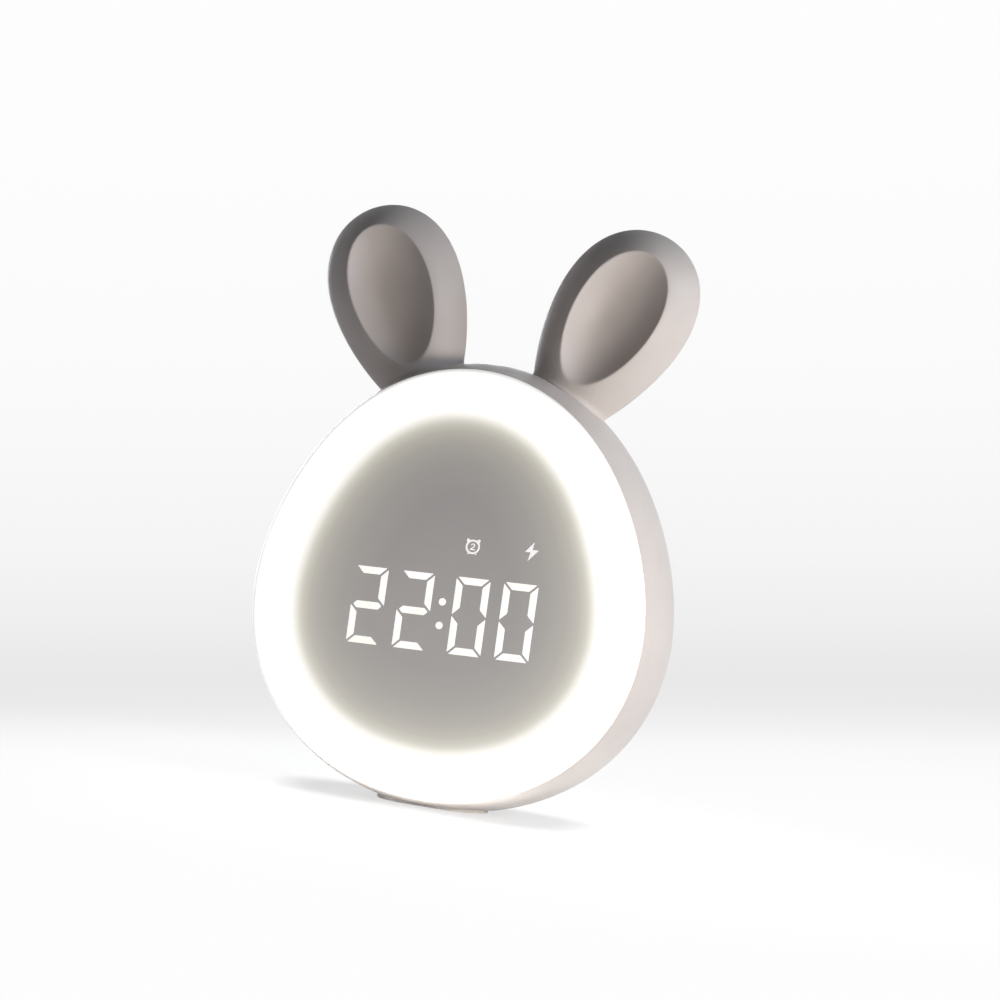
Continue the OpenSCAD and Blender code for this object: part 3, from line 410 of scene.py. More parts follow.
class Tree:
    """The node tree of a material or world: short calls add its nodes and link them."""

    def __init__(self, holder):
        holder.use_nodes = True
        self.nodes = holder.node_tree.nodes
        self.links = holder.node_tree.links

    def put(self, socket, value):
        """Links an output, or a node's first output, to a socket, or sets the socket's value."""
        if isinstance(value, bpy.types.Node):
            value = value.outputs[0]
        if isinstance(value, bpy.types.NodeSocket):
            self.links.new(value, socket)
        else:
            socket.default_value = rgba(value) if socket.type == "RGBA" else value

    def node(self, kind, inputs=None, **settings):
        """A node with its settings, and with its inputs by name or number."""
        node = self.nodes.new("ShaderNode" + kind)
        for name, value in settings.items():
            setattr(node, name, value)
        for key, value in (inputs or {}).items():
            self.put(node.inputs[key], value)
        return node

    def ramp(self, source, stops):
        """A colour ramp over [(place, colour or grey), ...]."""
        node = self.node("ValToRGB", {"Fac": source})
        elements = node.color_ramp.elements
        while len(elements) < len(stops):
            elements.new(0.5)
        for element, (place, value) in zip(elements, stops):
            element.position = place
            element.color = rgba(value)
        return node

    def math(self, operation, a, b, clamp=False):
        """One calculation on two numbers or outputs."""
        return self.node("Math", {0: a, 1: b}, operation=operation, use_clamp=clamp)

    def between(self, source, low, high, places=(0.3, 0.7)):
        """From one grey or colour to another over a pattern."""
        return self.ramp(source, [(places[0], low), (places[1], high)])

    def span(self, source, low, high, start=0, end=1, **settings):
        """A number that goes from start to end while the source goes from low to high."""
        return self.node("MapRange", {"Value": source, "From Min": low, "From Max": high,
                                      "To Min": start, "To Max": end}, **settings)

    def mixed(self, share, a, b):
        """Colour mix of two colours, greys or outputs."""
        mix = self.node("Mix", {"Factor": share, 6: a, 7: b}, data_type="RGBA")
        return mix.outputs[2]

    def shaders(self, share, a, b):
        """Mix of two shaders."""
        return self.node("MixShader", {0: share, 1: a, 2: b})


class Finish(Tree):
    """A procedural material on Object coordinates."""

    def __init__(self, name, scale=(1, 1, 1)):
        self.material = bpy.data.materials.new(name)
        super().__init__(self.material)
        self.shader = self.nodes["Principled BSDF"]
        coordinates = self.node("TexCoord").outputs["Object"]
        self.place = self.node("Mapping", {"Vector": coordinates, "Scale": scale})

    def set(self, **sockets):
        """Puts numbers, colours or patterns into the shader's sockets."""
        for name, value in sockets.items():
            self.put(self.shader.inputs[name.replace("_", " ")], value)
        return self

    def noise(self, size, detail=2.0, rough=0.5, distortion=0.0):
        """Noise whose features are about size metres wide."""
        return self.node("TexNoise", {"Vector": self.place, "Scale": 1 / size, "Detail": detail,
                                      "Roughness": rough, "Distortion": distortion})

    def tinted(self, source, colour, low, high, places=(0.3, 0.7)):
        """From the colour times low to the colour times high over a pattern."""
        return self.between(source, shade(colour, low), shade(colour, high), places)

    def bump(self, height, distance):
        """Relief of a pattern, distance metres high."""
        return self.node("Bump", {"Height": height, "Distance": distance})


def moulded(name, colour, rough=0.42, grain=0.35):
    """Moulded plastic: a spark-eroded grain in the surface, faint flow clouds in the colour."""
    f = Finish(name)
    return f.set(
        Base_Color=f.tinted(f.noise(18 * MM, 3, 0.55, 0.4), colour, 0.975, 1.025),
        Roughness=f.between(f.noise(5 * MM, 4, 0.6), rough - 0.05, rough + 0.06, (0.3, 0.72)),
        Normal=f.bump(f.noise(grain * MM, 3, 0.6), 0.012 * MM),
        IOR=1.49,
        Specular_IOR_Level=0.3,
    )


def metal(name, colour, rough=0.32, along=(1, 12, 1)):
    """Brushed or plated steel: streaks that are fine across one direction, and duller patches."""
    f = Finish(name, along)
    streaks = f.noise(0.9 * MM, 4, 0.7)
    return f.set(
        Base_Color=f.tinted(streaks, colour, 0.86, 1.1, (0.3, 0.75)),
        Roughness=f.between(streaks, rough - 0.08, rough + 0.12, (0.25, 0.8)),
        Normal=f.bump(streaks, 0.01 * MM),
        Metallic=1.0,
    )


def laminate(name, colour, track):
    """Circuit board: solder mask over raised copper tracks drawn by a brick of thin lines."""
    f = Finish(name)
    flat = f.node("Mapping", {"Vector": f.place, "Rotation": (math.pi / 2, 0, 0)})
    bricks = f.node("TexBrick", {"Vector": flat, "Scale": 160, "Mortar Size": 0.012})
    lines = bricks.outputs["Fac"]
    return f.set(
        Base_Color=f.mixed(lines, colour, track),
        Roughness=f.between(f.noise(3 * MM, 3), 0.3, 0.42),
        Normal=f.bump(lines, 0.03 * MM),
    )


def rubber(name, colour, rough=0.75):
    """Soft rubber or foam: an even matt grain and a little dust in its colour."""
    f = Finish(name)
    return f.set(
        Base_Color=f.tinted(f.noise(4 * MM, 5, 0.65), colour, 0.9, 1.08, (0.35, 0.7)),
        Roughness=f.between(f.noise(6 * MM), rough - 0.06, rough + 0.08),
        Normal=f.bump(f.noise(0.3 * MM, 3, 0.7), 0.03 * MM),
    )


def glossy(name, colour, rough=0.25):
    """Smooth plastic sleeve, jacket or ink: slow waves in the gloss, a faint orange peel."""
    f = Finish(name)
    return f.set(
        Base_Color=f.tinted(f.noise(9 * MM), colour, 0.93, 1.05),
        Roughness=f.between(f.noise(2.5 * MM, 3), rough - 0.05, rough + 0.1),
        Normal=f.bump(f.noise(1.2 * MM), 0.02 * MM),
    )


def paper(name, colour):
    """Pressed paper cone: fibres in one direction and a dull surface."""
    f = Finish(name, (1, 1, 4))
    fibres = f.noise(0.8 * MM, 6, 0.75, 1.5)
    return f.set(
        Base_Color=f.tinted(fibres, colour, 0.75, 1.3, (0.3, 0.75)),
        Roughness=f.between(fibres, 0.8, 0.95),
        Normal=f.bump(fibres, 0.04 * MM),
    )


def diode(name, colour):
    """Small lamp: a phosphor-coloured block with a grainy top that gives a little light."""
    f = Finish(name)
    grains = f.noise(0.25 * MM, 3, 0.6)
    glow = f.tinted(grains, colour, 0.9, 1.05)
    return f.set(
        Base_Color=glow,
        Emission_Color=glow,
        Roughness=f.between(grains, 0.35, 0.5),
        Emission_Strength=0.6,
    )


def glow_finish():
    """The face: the ring shines out to its edge, and its light fades into the tinted middle.

    Both follow the UV map's distance inwards, which slow noise shifts by about half a
    millimetre at most. Lower down the light is a little warmer and paler.
    """
    c = colours()
    f = Finish("glowing_face")
    inwards = f.node("SeparateXYZ", {"Vector": f.node("UVMap", uv_map="inwards")}).outputs["Y"]
    ripple = f.math("MULTIPLY", f.math("SUBTRACT", f.noise(30 * MM), 0.5), 0.016)
    way = f.math("ADD", inwards, ripple)
    light = f.ramp(way, [(mm / INWARD_SPAN, colour) for mm, colour in (
        (0, shade(c.ring, 0.4)), (0.8, shade(c.ring, 0.56)), (1.8, shade(c.ring, 0.97)),
        (11.5, shade(c.ring, 0.97)), (13.5, (0.86, 0.85, 0.81)), (15, (0.73, 0.715, 0.655)),
        (16.5, (0.55, 0.54, 0.48)), (18, (0.42, 0.41, 0.345)), (20, (0.325, 0.31, 0.268)),
        (24, (0.234, 0.224, 0.199)), (30, (0.174, 0.168, 0.158)), (40, (0.132, 0.126, 0.128)),
    )])
    height = f.node("SeparateXYZ", {"Vector": f.place}).outputs["Z"]
    rise = f.math("DIVIDE", height, 0.14, clamp=True)
    warmth = f.math("MULTIPLY", f.math("SUBTRACT", 1.0, rise), 0.32)
    return f.set(
        Emission_Color=f.mixed(warmth, light, f.mixed(0.5, light, (1, 0.99, 0.92))),
        Base_Color=f.between(way, (0.8, 0.79, 0.77), c.screen,
                             (10 / INWARD_SPAN, 17 / INWARD_SPAN)),
        Roughness=f.between(f.noise(7 * MM, 3), 0.36, 0.44),
        Normal=f.bump(f.noise(0.5 * MM, 3), 0.006 * MM),
        Emission_Strength=1.0,
        IOR=1.49,
    )


def lit_finish(name, strength):
    """Lit bars and dots: near white, some a little creamy and some a little rosy."""
    f = Finish(name)
    tone = f.noise(9 * MM, 1)
    return f.set(
        Emission_Color=f.ramp(tone, [(0.38, (0.99, 0.95, 0.96)), (0.5, colours().digits),
                                     (0.62, (0.985, 0.965, 0.86))]),
        Base_Color=f.between(tone, 0.55, 0.62),
        Roughness=f.between(f.noise(2 * MM), 0.4, 0.5),
        Emission_Strength=strength,
    )


# ---- Pieces ----


def inward_map(mesh, shares):
    """UV map 'inwards': (share of the turn, distance inwards over its span) for each point."""
    layer = mesh.uv_layers.new(name="inwards")
    index = np.zeros(len(mesh.loops), np.int32)
    mesh.loops.foreach_get("vertex_index", index)
    layer.data.foreach_set("uv", shares[index].astype(np.float32).reshape(-1))


def glow_panel():
    """The domed face: a profile carried round the outline.

    Outer dome: scale q from 0 to 1 at depth panel_y(q). Edge: a quarter circle of angle t, at
    off = -e(1 - sin t) and depth seam - e cos t. Then the seam's chamfer, the rim's flat and
    the same profile back inside, one wall further in. Each row is marked with its distance
    inwards, which on the dome is measured square to the outline.
    """
    s = sizes()
    a = turn(s.columns)
    e, w, middle = s.panel_edge, s.panel_wall, s.face_height
    bare_x, bare_z = face_point(a, -e)
    edge_x, edge_z = face_point(a)
    radius = np.hypot(edge_x, edge_z - middle)
    across = np.hypot(bare_x, bare_z - middle) * radius
    across = across / np.hypot(radius, np.gradient(radius, a[1]))
    rows, marks = [], []

    def dome(q, shift):
        rows.append(row(bare_x * q, panel_y(q) + shift, middle + (bare_z - middle) * q))
        marks.append(e + (1 - q) * across)

    def rim(off, y):
        x, z = face_point(a, off)
        rows.append(row(x, y, z))
        marks.append(np.full_like(a, -off))

    for q in np.concatenate([np.linspace(0.03, 0.66, 22), np.linspace(0.675, 1, 27)]):
        dome(q, 0)
    for t in np.radians(np.arange(9, 81, 9)):
        rim(-e * (1 - math.sin(t)), s.seam - e * math.cos(t))
    rim(-0.03 * MM, s.seam - 0.2 * MM)
    rim(-0.2 * MM, s.seam)
    rim(-w, s.seam)
    rim(-w, s.seam - e + w)
    for q in np.linspace(0.97, 0.05, 16):
        dome(q, w)
    mesh = mesh_of("glow_panel",
                   *skin(rows, [0, panel_y(0), middle], [0, panel_y(0) + w, middle]))
    turns = np.broadcast_to(a / (2 * np.pi), np.array(marks).shape)
    shares = np.stack([turns, np.array(marks) / (INWARD_SPAN * MM)], -1).reshape(-1, 2)
    inward_map(mesh, np.concatenate([shares, [[0.5, 0.95], [0.5, 0.95]]]))
    mesh.materials.append(glow_finish().material)
    add_object("glow_panel", mesh, "panel_milky", "front_panel")


def wall_row(depth, off, low):
    """A ring of the side wall at a depth behind the seam, cut flat at height low."""
    s = sizes()
    x, z = face_point(turn(s.columns), barrel(depth) + off)
    return row(x, s.seam + depth, np.maximum(z, low))


def front_wall():
    """The front half of the side wall: its outside from the seam back, then its inside."""
    s = sizes()
    full, low = s.parting - s.seam, s.floor
    rows = [wall_row(0, -SEAM_EDGE, low)]
    rows += [wall_row(d, 0, low) for d in np.linspace(SEAM_EDGE, full - SEAM_EDGE, 26)]
    rows += [wall_row(full, -SEAM_EDGE, low)]
    rows += [wall_row(d, -s.wall, low + s.wall + MM) for d in np.linspace(full, 0, 9)]
    return skin(rows)


def ear_rows(side, shares, place, depth):
    """Rows of an ear: at each share, the loop place(share) at depth(share)."""
    rows = []
    for share in shares:
        x, z = ear_place(*place(share), side)
        rows.append(row(x, depth(share), z))
    return rows


def over_wall(points):
    """Height of points over the side wall, measured square to the face outline."""
    s = sizes()
    x, z = points[..., 0], points[..., 2] - s.face_height
    r, dr = outline_radius(np.arctan2(x, z))
    return (np.hypot(x, z) - r) * (r / np.hypot(r, dr)) - barrel(points[..., 1] - s.seam)


def blended(rows, way):
    """Carries an ear's surface round into the side wall where it meets the case.

    At height h over the wall the surface moves by R - sqrt(R^2 - (R - h)^2), a hollow of
    radius R, towards the front (way -1) or the back (way 1).
    """
    s = sizes()
    big = s.root_blend
    h = np.clip(over_wall(rows), 0.12 * big, big)
    shift = big - np.sqrt(np.maximum(big * big - (big - h) ** 2, 0))
    out = rows.copy()
    out[..., 1] += way * shift
    return out


def ear_front(side):
    """The dished front of an ear.

    Dish: an egg scaled by q at depth parting - C + D(1 - q^2.6). Crest: a small parabola over
    the edge. Rim: straight from the ear's egg at f = 0 to the dish's egg at f = 1, at depth
    parting - C(1 - (1 - f)^p)^(1/p). Back: flat at the parting line.
    """
    s = sizes()
    up = (s.rim_foot - s.rim) / 2
    lift = np.array([[0], [up]])
    outer = ear_egg()
    inner = egg(ear_turn(s.columns), s.ear_width - 2 * s.rim,
                s.ear_length - s.rim - s.rim_foot, s.dish_taper)
    rim_end = 0.96

    def dish_loop(q):
        return inner * q + lift

    def dish_y(q):
        return s.parting - s.crest + s.dish * (1 - q**DISH_POWER)

    def rim_loop(f):
        return outer + (inner + lift - outer) * f

    def rim_y(f):
        p = s.rim_power
        return s.parting - s.crest * max(0.0, 1 - (1 - f) ** p) ** (1 / p)

    rows = ear_rows(side, np.linspace(0.04, 0.972, 26), dish_loop, dish_y)
    start = rows[-1]
    peak = ear_rows(side, [1.0], dish_loop, dish_y)[0]
    end = ear_rows(side, [rim_end], rim_loop, rim_y)[0]
    rows += [parabola(start, peak, end, t) for t in (0.25, 0.5, 0.75)]
    shares = rim_end * (1 - np.linspace(0, 1, 56) ** 1.2)
    rows += ear_rows(side, [*shares[:-1], 0.004], rim_loop, rim_y)
    rows = [blended(r, -1) for r in rows]
    rows += ear_rows(side, [0], rim_loop, lambda f: s.parting - SEAM_EDGE)
    rows += ear_rows(side, [0], lambda f: ear_egg(-SEAM_EDGE), lambda f: s.parting)
    rows += ear_rows(side, [0.6], lambda q: outer * q, lambda q: s.parting)
    x, z = ear_place(0, up, side)
    return skin(rows, [x, dish_y(0), z], [x, s.parting, z])


def ear_rear(side):
    """The rounded back of an ear: the egg scaled by g at depth parting + H(1 - g^2.4)^(1/2.4)."""
    s = sizes()
    outer = ear_egg()

    def loop(g):
        return outer * g

    def depth(g):
        return s.parting + s.ear_back * max(0.0, 1 - g**BACK_POWER) ** (1 / BACK_POWER)

    rows = ear_rows(side, [0.6], loop, lambda g: s.parting)
    rows += ear_rows(side, [1], lambda g: ear_egg(-SEAM_EDGE), lambda g: s.parting)
    rows += ear_rows(side, [1], loop, lambda g: s.parting + SEAM_EDGE)
    shares = 1 - np.linspace(0.02, 0.98, 52) ** 2.2
    rows += [blended(r, 1) for r in ear_rows(side, shares, loop, depth)]
    x, z = ear_place(0, 0, side)
    return skin(rows, [x, s.parting, z], [x, s.parting + s.ear_back, z])


def front_shell():
    """The front moulding: the front of the side wall and the dished fronts of both ears."""
    closed_piece("front_shell", [front_wall(), ear_front(1), ear_front(-1)],
                 moulded("shell_plastic", colours().shell), SHELL_SLOT, "front_housing")


def rear_case():
    """The rear half of the case.

    Side wall from the parting line, then an edge of radius r at angle t: off = -r(1 - cos t),
    depth + r sin t, then the flat back, and the same one wall further in.
    """
    s = sizes()
    front, bend = s.parting - s.seam, s.rear - s.seam - s.back_edge
    low, inner_low = s.floor, s.floor + s.wall + MM

    def edge(off, low, count):
        r = s.back_edge + off
        for t in np.radians(np.linspace(0, 90, count)):
            x, z = face_point(turn(s.columns), barrel(bend) + off - r * (1 - math.cos(t)))
            yield row(x, s.seam + bend + r * math.sin(t), np.maximum(z, low))

    outer = [wall_row(front, -SEAM_EDGE, low)]
    outer += [wall_row(d, 0, low) for d in np.linspace(front + SEAM_EDGE, bend, 9)[:-1]]
    outer += edge(0, low, 13)
    middle = np.array([0, s.rear, s.face_height])
    outer += [middle + (outer[-1] - middle) * q for q in (0.85, 0.6, 0.3)]
    inner = [wall_row(d, -s.wall, inner_low) for d in np.linspace(front, bend, 4)[:-1]]
    inner += edge(-s.wall, inner_low, 6)
    inner_middle = np.array([0, s.rear - s.wall, s.face_height])
    inner.append(inner_middle + (inner[-1] - inner_middle) * 0.6)
    return skin(outer[::-1] + inner, middle, inner_middle)


def rear_cutters():
    """Holes of the rear case, each with a small chamfer at its mouth."""
    s = sizes()
    inside, past, soft = s.rear - s.wall - MM, s.rear + MM, 0.25 * MM
    grille_pitch, socket_width, socket_height = 4.6 * MM, 9.3 * MM, 3.6 * MM
    parts = []

    def hole(loop, mouth=s.rear):
        parts.append(prism(loop, [inside, mouth - soft, mouth, past + soft],
                           [0, 0, soft, soft + (past - mouth)]))

    for i in (-1.5, -0.5, 0.5, 1.5):
        hole(circle(i * s.button_pitch, s.buttons_z, s.button / 2 + 0.1 * MM), s.rear - RECESS)
    hole(stadium(0, s.usb_z, socket_width, socket_height))
    for ring, count in ((0, 1), (1, 6), (2, 12)):
        for x, z in circle(0, s.speaker_z, ring * grille_pitch, count):
            hole(circle(x, z, MM, 24))
    for x, z in well_places():
        hole(circle(x, z, s.well / 2))
    return parts


def well_places():
    """Middles of the five screw wells, on a line inside the face outline."""
    for degrees in (0, 68, 130, 230, 292):
        x, z = face_point(np.radians(float(degrees)), -6.5 * MM)
        yield float(x), float(z)


def screw_wells():
    """Tubes that carry the wells down to the screw heads, from inside the back's wall."""
    s = sizes()
    inner, outer = s.well / 2 + 0.01 * MM, s.well / 2 + 1.5 * MM
    near, far = s.rear - 7 * MM, s.rear - s.wall + 0.3 * MM
    corners = ((outer, near), (outer, far), (inner, far), (inner, near))
    return [skin([at_depth(circle(x, z, radius), y) for radius, y in corners])
            for x, z in well_places()]


def recess_cutter():
    """The shallow stadium round the buttons."""
    s = sizes()
    height, soft = s.button + 8 * MM, 0.2 * MM
    loop = stadium(0, s.buttons_z, 3 * s.button_pitch + height, height, 96)
    return prism(loop, [s.rear - RECESS, s.rear - soft, s.rear, s.rear + MM],
                 [0, 0, soft, soft + MM])


def carve(piece, parts):
    """Cuts closed skins out of a piece with an exact Boolean, applied to its mesh."""
    cutter = linked("cutter", closed_mesh("cutter", parts))
    modifier = piece.modifiers.new("cut", "BOOLEAN")
    modifier.operation = "DIFFERENCE"
    modifier.solver = "EXACT"
    modifier.object = cutter
    evaluated = piece.evaluated_get(bpy.context.evaluated_depsgraph_get())
    mesh = bpy.data.meshes.new_from_object(evaluated)
    piece.modifiers.clear()
    piece.data = mesh
    bpy.data.objects.remove(cutter)


def rear_shell():
    """The rear moulding: the case with its holes, the backs of both ears and the well tubes."""
    piece = linked("rear_case_blank", closed_mesh("rear_shell", [rear_case()]))
    carve(piece, [recess_cutter()])
    carve(piece, rear_cutters())
    parts = [ear_rear(1), ear_rear(-1), *screw_wells()]
    ears = linked("rear_ears", closed_mesh("rear_ears", parts))
    with bpy.context.temp_override(active_object=piece, object=piece,
                                   selected_editable_objects=[piece, ears],
                                   selected_objects=[piece, ears]):
        bpy.ops.object.join()
    mesh = piece.data
    mesh.name = "rear_shell"
    bpy.data.objects.remove(piece)
    smooth(mesh, 32)
    mesh.materials.clear()
    mesh.materials.append(bpy.data.materials["shell_plastic"])
    add_object("rear_shell", mesh, SHELL_SLOT, "rear_housing")


def bars_of(digit):
    """The lit bars of a digit as outlines in its own width w and height h.

    Mitred ends: at every corner two bars stop half a gap from the same 45 degree line.
    """
    s = sizes()
    w, h, t = s.digit_width, s.digit_height, s.bar
    m = s.bar_gap / math.sqrt(2)
    tip = s.bar_gap * math.sqrt(2) - m / 2
    c = h / 2
    top = np.array([[m, h], [w - m, h], [w - t - m, h - t], [t + m, h - t]])
    side = np.array([[w, h - m], [w, (h + m) / 2], [w - t, (h + m) / 2 + t],
                     [w - t, h - t - m]])
    middle = np.array([[tip, c], [tip + t / 2, c + t / 2], [w - tip - t / 2, c + t / 2],
                       [w - tip, c], [w - tip - t / 2, c - t / 2], [tip + t / 2, c - t / 2]])
    down, across = np.array([1, -1]), np.array([-1, 1])
    bars = {
        "a": top, "b": side, "c": side * down + [0, h], "d": top * down + [0, h],
        "e": (side * down + [0, h]) * across + [w, 0], "f": side * across + [w, 0],
        "g": middle,
    }
    shown = {0: "abcdef", 2: "abged"}
    return [bars[k] for k in shown[digit]]


def softened(loop, radius=0.28 * MM, steps=4):
    """Rounds each corner of an outline with the parabola between its two cut points."""
    before, after = np.roll(loop, 1, 0) - loop, np.roll(loop, -1, 0) - loop
    lb, la = np.linalg.norm(before, axis=1), np.linalg.norm(after, axis=1)
    r = np.minimum(radius, 0.4 * np.minimum(lb, la))
    start = loop + before / lb[:, None] * r[:, None]
    end = loop + after / la[:, None] * r[:, None]
    t = np.linspace(0, 1, steps)[None, :, None]
    return parabola(start[:, None], loop[:, None], end[:, None], t).reshape(-1, 2)


def on_face(loop, proud=PROUD):
    """A thin inlay that follows the dome: its outline is denser, and its front lies just proud."""
    dense = np.stack([loop, (loop + np.roll(loop, -1, 0)) / 2], 1).reshape(-1, 2)
    centre = dense.mean(0)
    rows = [on_dome(centre + (dense - centre) * scale, lift) for scale, lift in (
        (1.0, SUNK), (1.0, -proud * 0.3), (0.96, -proud), (0.6, -proud))]
    return skin(rows, on_dome(centre, SUNK), on_dome(centre, -proud))


def face_depth(flat):
    """Depth of the panel's front face under points (x, z).

    It is panel_y(q), with q the distance from the middle of the face over the outline's radius
    in that direction.
    """
    s = sizes()
    x, z = flat[..., 0], flat[..., 1] - s.face_height
    edge_x, edge_z = face_point(np.arctan2(x, z), -s.panel_edge)
    return panel_y(np.hypot(x, z) / np.hypot(edge_x, edge_z - s.face_height))


def on_dome(loop, lift):
    """An outline of (x, z) points laid on the face, lift behind its surface."""
    return at_depth(loop, face_depth(loop) + lift)


def sloped(loop):
    """Lets the display row rise to the right by the row slope, its uprights kept upright."""
    out = np.array(loop, float)
    out[:, 1] += out[:, 0] * math.tan(sizes().digit_row_slope)
    return out


def lit_digits():
    """The four digits and the colon as thin lit inlays in the face."""
    s = sizes()
    half = s.colon_gap / 2
    lefts = (-half - s.digit_pitch - s.digit_width, -half - s.digit_width, half,
             half + s.digit_pitch)
    parts = []
    for left, digit in zip(lefts, (2, 2, 0, 0)):
        corner = np.array([left, s.digits_z - s.digit_height / 2])
        parts += [on_face(sloped(softened(bar + corner))) for bar in bars_of(digit)]
    dot_rise = 0.153 * s.digit_height
    for z in (s.digits_z - dot_rise, s.digits_z + dot_rise):
        parts.append(on_face(sloped(circle(0, z, s.dot / 2, 24))))
    closed_piece("lit_digits", parts, lit_finish("lit_bars", 0.78), "sheet_white")


def ring_band(x, z, outer, inner):
    """A flat ring on the face: its outside loop forwards and its inside loop as a second wall."""
    return skin([on_dome(sloped(circle(x, z, radius, 36)), lift) for radius, lift in (
        (outer, SUNK), (outer, -PROUD), (inner, -PROUD), (inner, SUNK))])


def lit_symbols():
    """The alarm symbol, a ringed 2 with two bells and two feet, and the charge symbol."""
    s = sizes()
    x, z = s.alarm_x, s.symbols_z - 0.7 * MM
    parts = [ring_band(x, z, 2.25 * MM, 1.68 * MM)]
    bell = np.array([[0.85, 1.98], [1.85, 2.55], [2.2, 2.2], [1.95, 1.15], [1.5, 1.55]])
    foot = np.array([[1.1, -1.75], [1.55, -2.25], [1.2, -2.4], [0.8, -1.95]])
    for way in (-1, 1):
        for shape in (bell, foot):
            loop = softened(shape * [way, 1] * MM + [x, z], 0.2 * MM, 3)
            parts.append(on_face(sloped(loop), proud=0.015 * MM))
    two = np.array([[-0.75, 0.55], [-0.3, 1.05], [0.4, 1.05], [0.75, 0.55], [0.55, 0.0],
                    [-0.2, -0.65], [0.8, -0.65], [0.8, -1.0], [-0.8, -1.0], [-0.8, -0.75],
                    [0.2, 0.15], [0.35, 0.5], [0.2, 0.72], [-0.15, 0.72], [-0.42, 0.42]])
    parts.append(flat_patch(sloped(two * MM + [x, z])))
    bolt = np.array([[0.5, 3.0], [-2.1, -0.2], [-0.35, -0.2], [-0.95, -3.0], [2.1, 0.6],
                     [0.15, 0.6]])
    parts.append(flat_patch(sloped(bolt * MM + [s.charge_x, s.symbols_z - 0.2 * MM])))
    closed_piece("lit_symbols", parts, lit_finish("lit_marks", 0.64), "sheet_white")


def plate(loop, front, back):
    """A closed thin plate over any simple outline, from depth front to depth back.

    Its two faces are the outline's triangles.
    """
    n = len(loop)
    points = np.concatenate([at_depth(loop, front), at_depth(loop, back)])
    triangles = np.array(tessellate_polygon([[Vector((*p, 0)) for p in loop]]))
    i = np.arange(n)
    sides = np.stack([i, (i + 1) % n, n + (i + 1) % n, n + i], -1)
    return points, sides, np.concatenate([triangles, triangles[:, ::-1] + n])


def flat_patch(loop):
    """A plate just proud of the face."""
    depth = face_depth(loop)
    return plate(loop, depth - PROUD, depth + SUNK)


def button_marks():
    """Grey printed marks under the buttons: a bell, a lamp, and arrows up and down."""
    s = sizes()
    bell = np.array([[-1.15, -0.62], [-0.85, -0.3], [-0.78, 0.35], [-0.45, 0.83], [0, 1.0],
                     [0.45, 0.83], [0.78, 0.35], [0.85, -0.3], [1.15, -0.62]])
    foot = np.array([[-0.36, -0.6], [0.36, -0.6], [0.36, -1.1], [-0.36, -1.1]])
    arrow = np.array([[-1.0, -0.75], [0, 0.95], [1.0, -0.75]])
    marks = {
        "alarm_button": (bell, circle(0, -0.9, 0.26, 20)),
        "light_button": (circle(0, 0.35, 0.78, 28), foot),
        "up_button": (arrow,),
        "down_button": (arrow * [1, -1],),
    }
    ground = s.rear - RECESS
    parts = []
    for name, shapes in marks.items():
        low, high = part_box(name)
        place = [(low[0] + high[0]) / 2, s.buttons_z - s.button / 2 - 1.9 * MM]
        for shape in shapes:
            loop = softened(shape * MM + place, 0.12 * MM, 3)
            parts.append(plate(loop, ground - 0.1 * MM, ground + 0.03 * MM))
    ink = glossy("mark_ink", colours().marks, 0.45)
    closed_piece("button_marks", parts, ink, SHELL_SLOT)


def node_finishes():
    """Gives every CAD node that stays in view or inside its own procedural finish."""
    c = colours()
    steel = metal("plated_steel", (0.62, 0.62, 0.64))
    screws = metal("zinc_plate", (0.44, 0.44, 0.46), 0.34, (1, 1, 9))
    green = laminate("green_board", (0.03, 0.17, 0.08), (0.05, 0.26, 0.13))
    white = laminate("white_board", (0.8, 0.81, 0.8), (0.86, 0.87, 0.85))
    inner = moulded("inner_plastic", (0.84, 0.84, 0.83), 0.55)
    cap = moulded("button_plastic", c.button, 0.38, 0.25)
    black = moulded("black_plastic", (0.03, 0.03, 0.033), 0.45, 0.3)
    light = diode("phosphor", (0.96, 0.86, 0.5))
    finishes = {
        "front_panel": moulded("milky_plastic", (0.9, 0.89, 0.86)),
        "display_film": glossy("grey_film", (0.26, 0.25, 0.25)),
        "front_housing": moulded("hidden_front_plastic", c.shell),
        "rear_housing": moulded("hidden_rear_plastic", c.shell),
        "base_pad": rubber("pad_rubber", (0.8, 0.79, 0.77)),
        "inner_frame": inner, "segment_block": inner, "speaker_bracket": inner,
        "segment_diffuser": glossy("frosted_sheet", (0.88, 0.88, 0.87), 0.5),
        "ring_board": white, "display_board": green, "main_board": green,
        "ring_leds": light, "segment_leds": light,
        "control_chip": black, "tact_switches": black,
        "lead_sockets": moulded("socket_nylon", (0.8, 0.76, 0.64), 0.5),
        "usb_socket": steel, "speaker_frame": steel,
        "speaker_magnet": metal("ferrite", (0.16, 0.16, 0.17), 0.6, (1, 1, 1)),
        "speaker_cone": paper("cone_paper", (0.05, 0.05, 0.053)),
        "speaker_gasket": rubber("gasket_foam", (0.04, 0.04, 0.04), 0.85),
        "battery_cell": glossy("cell_sleeve", (0.07, 0.2, 0.5)),
        "alarm_button": cap, "light_button": cap, "up_button": cap, "down_button": cap,
        "case_screws": screws, "frame_screws": screws, "display_screws": screws,
        "board_screws": screws, "bracket_screws": screws,
        "battery_leads": glossy("red_jacket", (0.5, 0.03, 0.025), 0.4),
        "speaker_leads": glossy("black_jacket", (0.025, 0.025, 0.027), 0.4),
        "ring_leads": glossy("white_jacket", (0.8, 0.8, 0.79), 0.4),
        "display_ribbon": glossy("ribbon_film", (0.6, 0.61, 0.65), 0.35),
    }
    for name, node in frame["nodes"].items():
        for slot in node.material_slots:
            slot.material = finishes[name].material


# ---- Stage ----


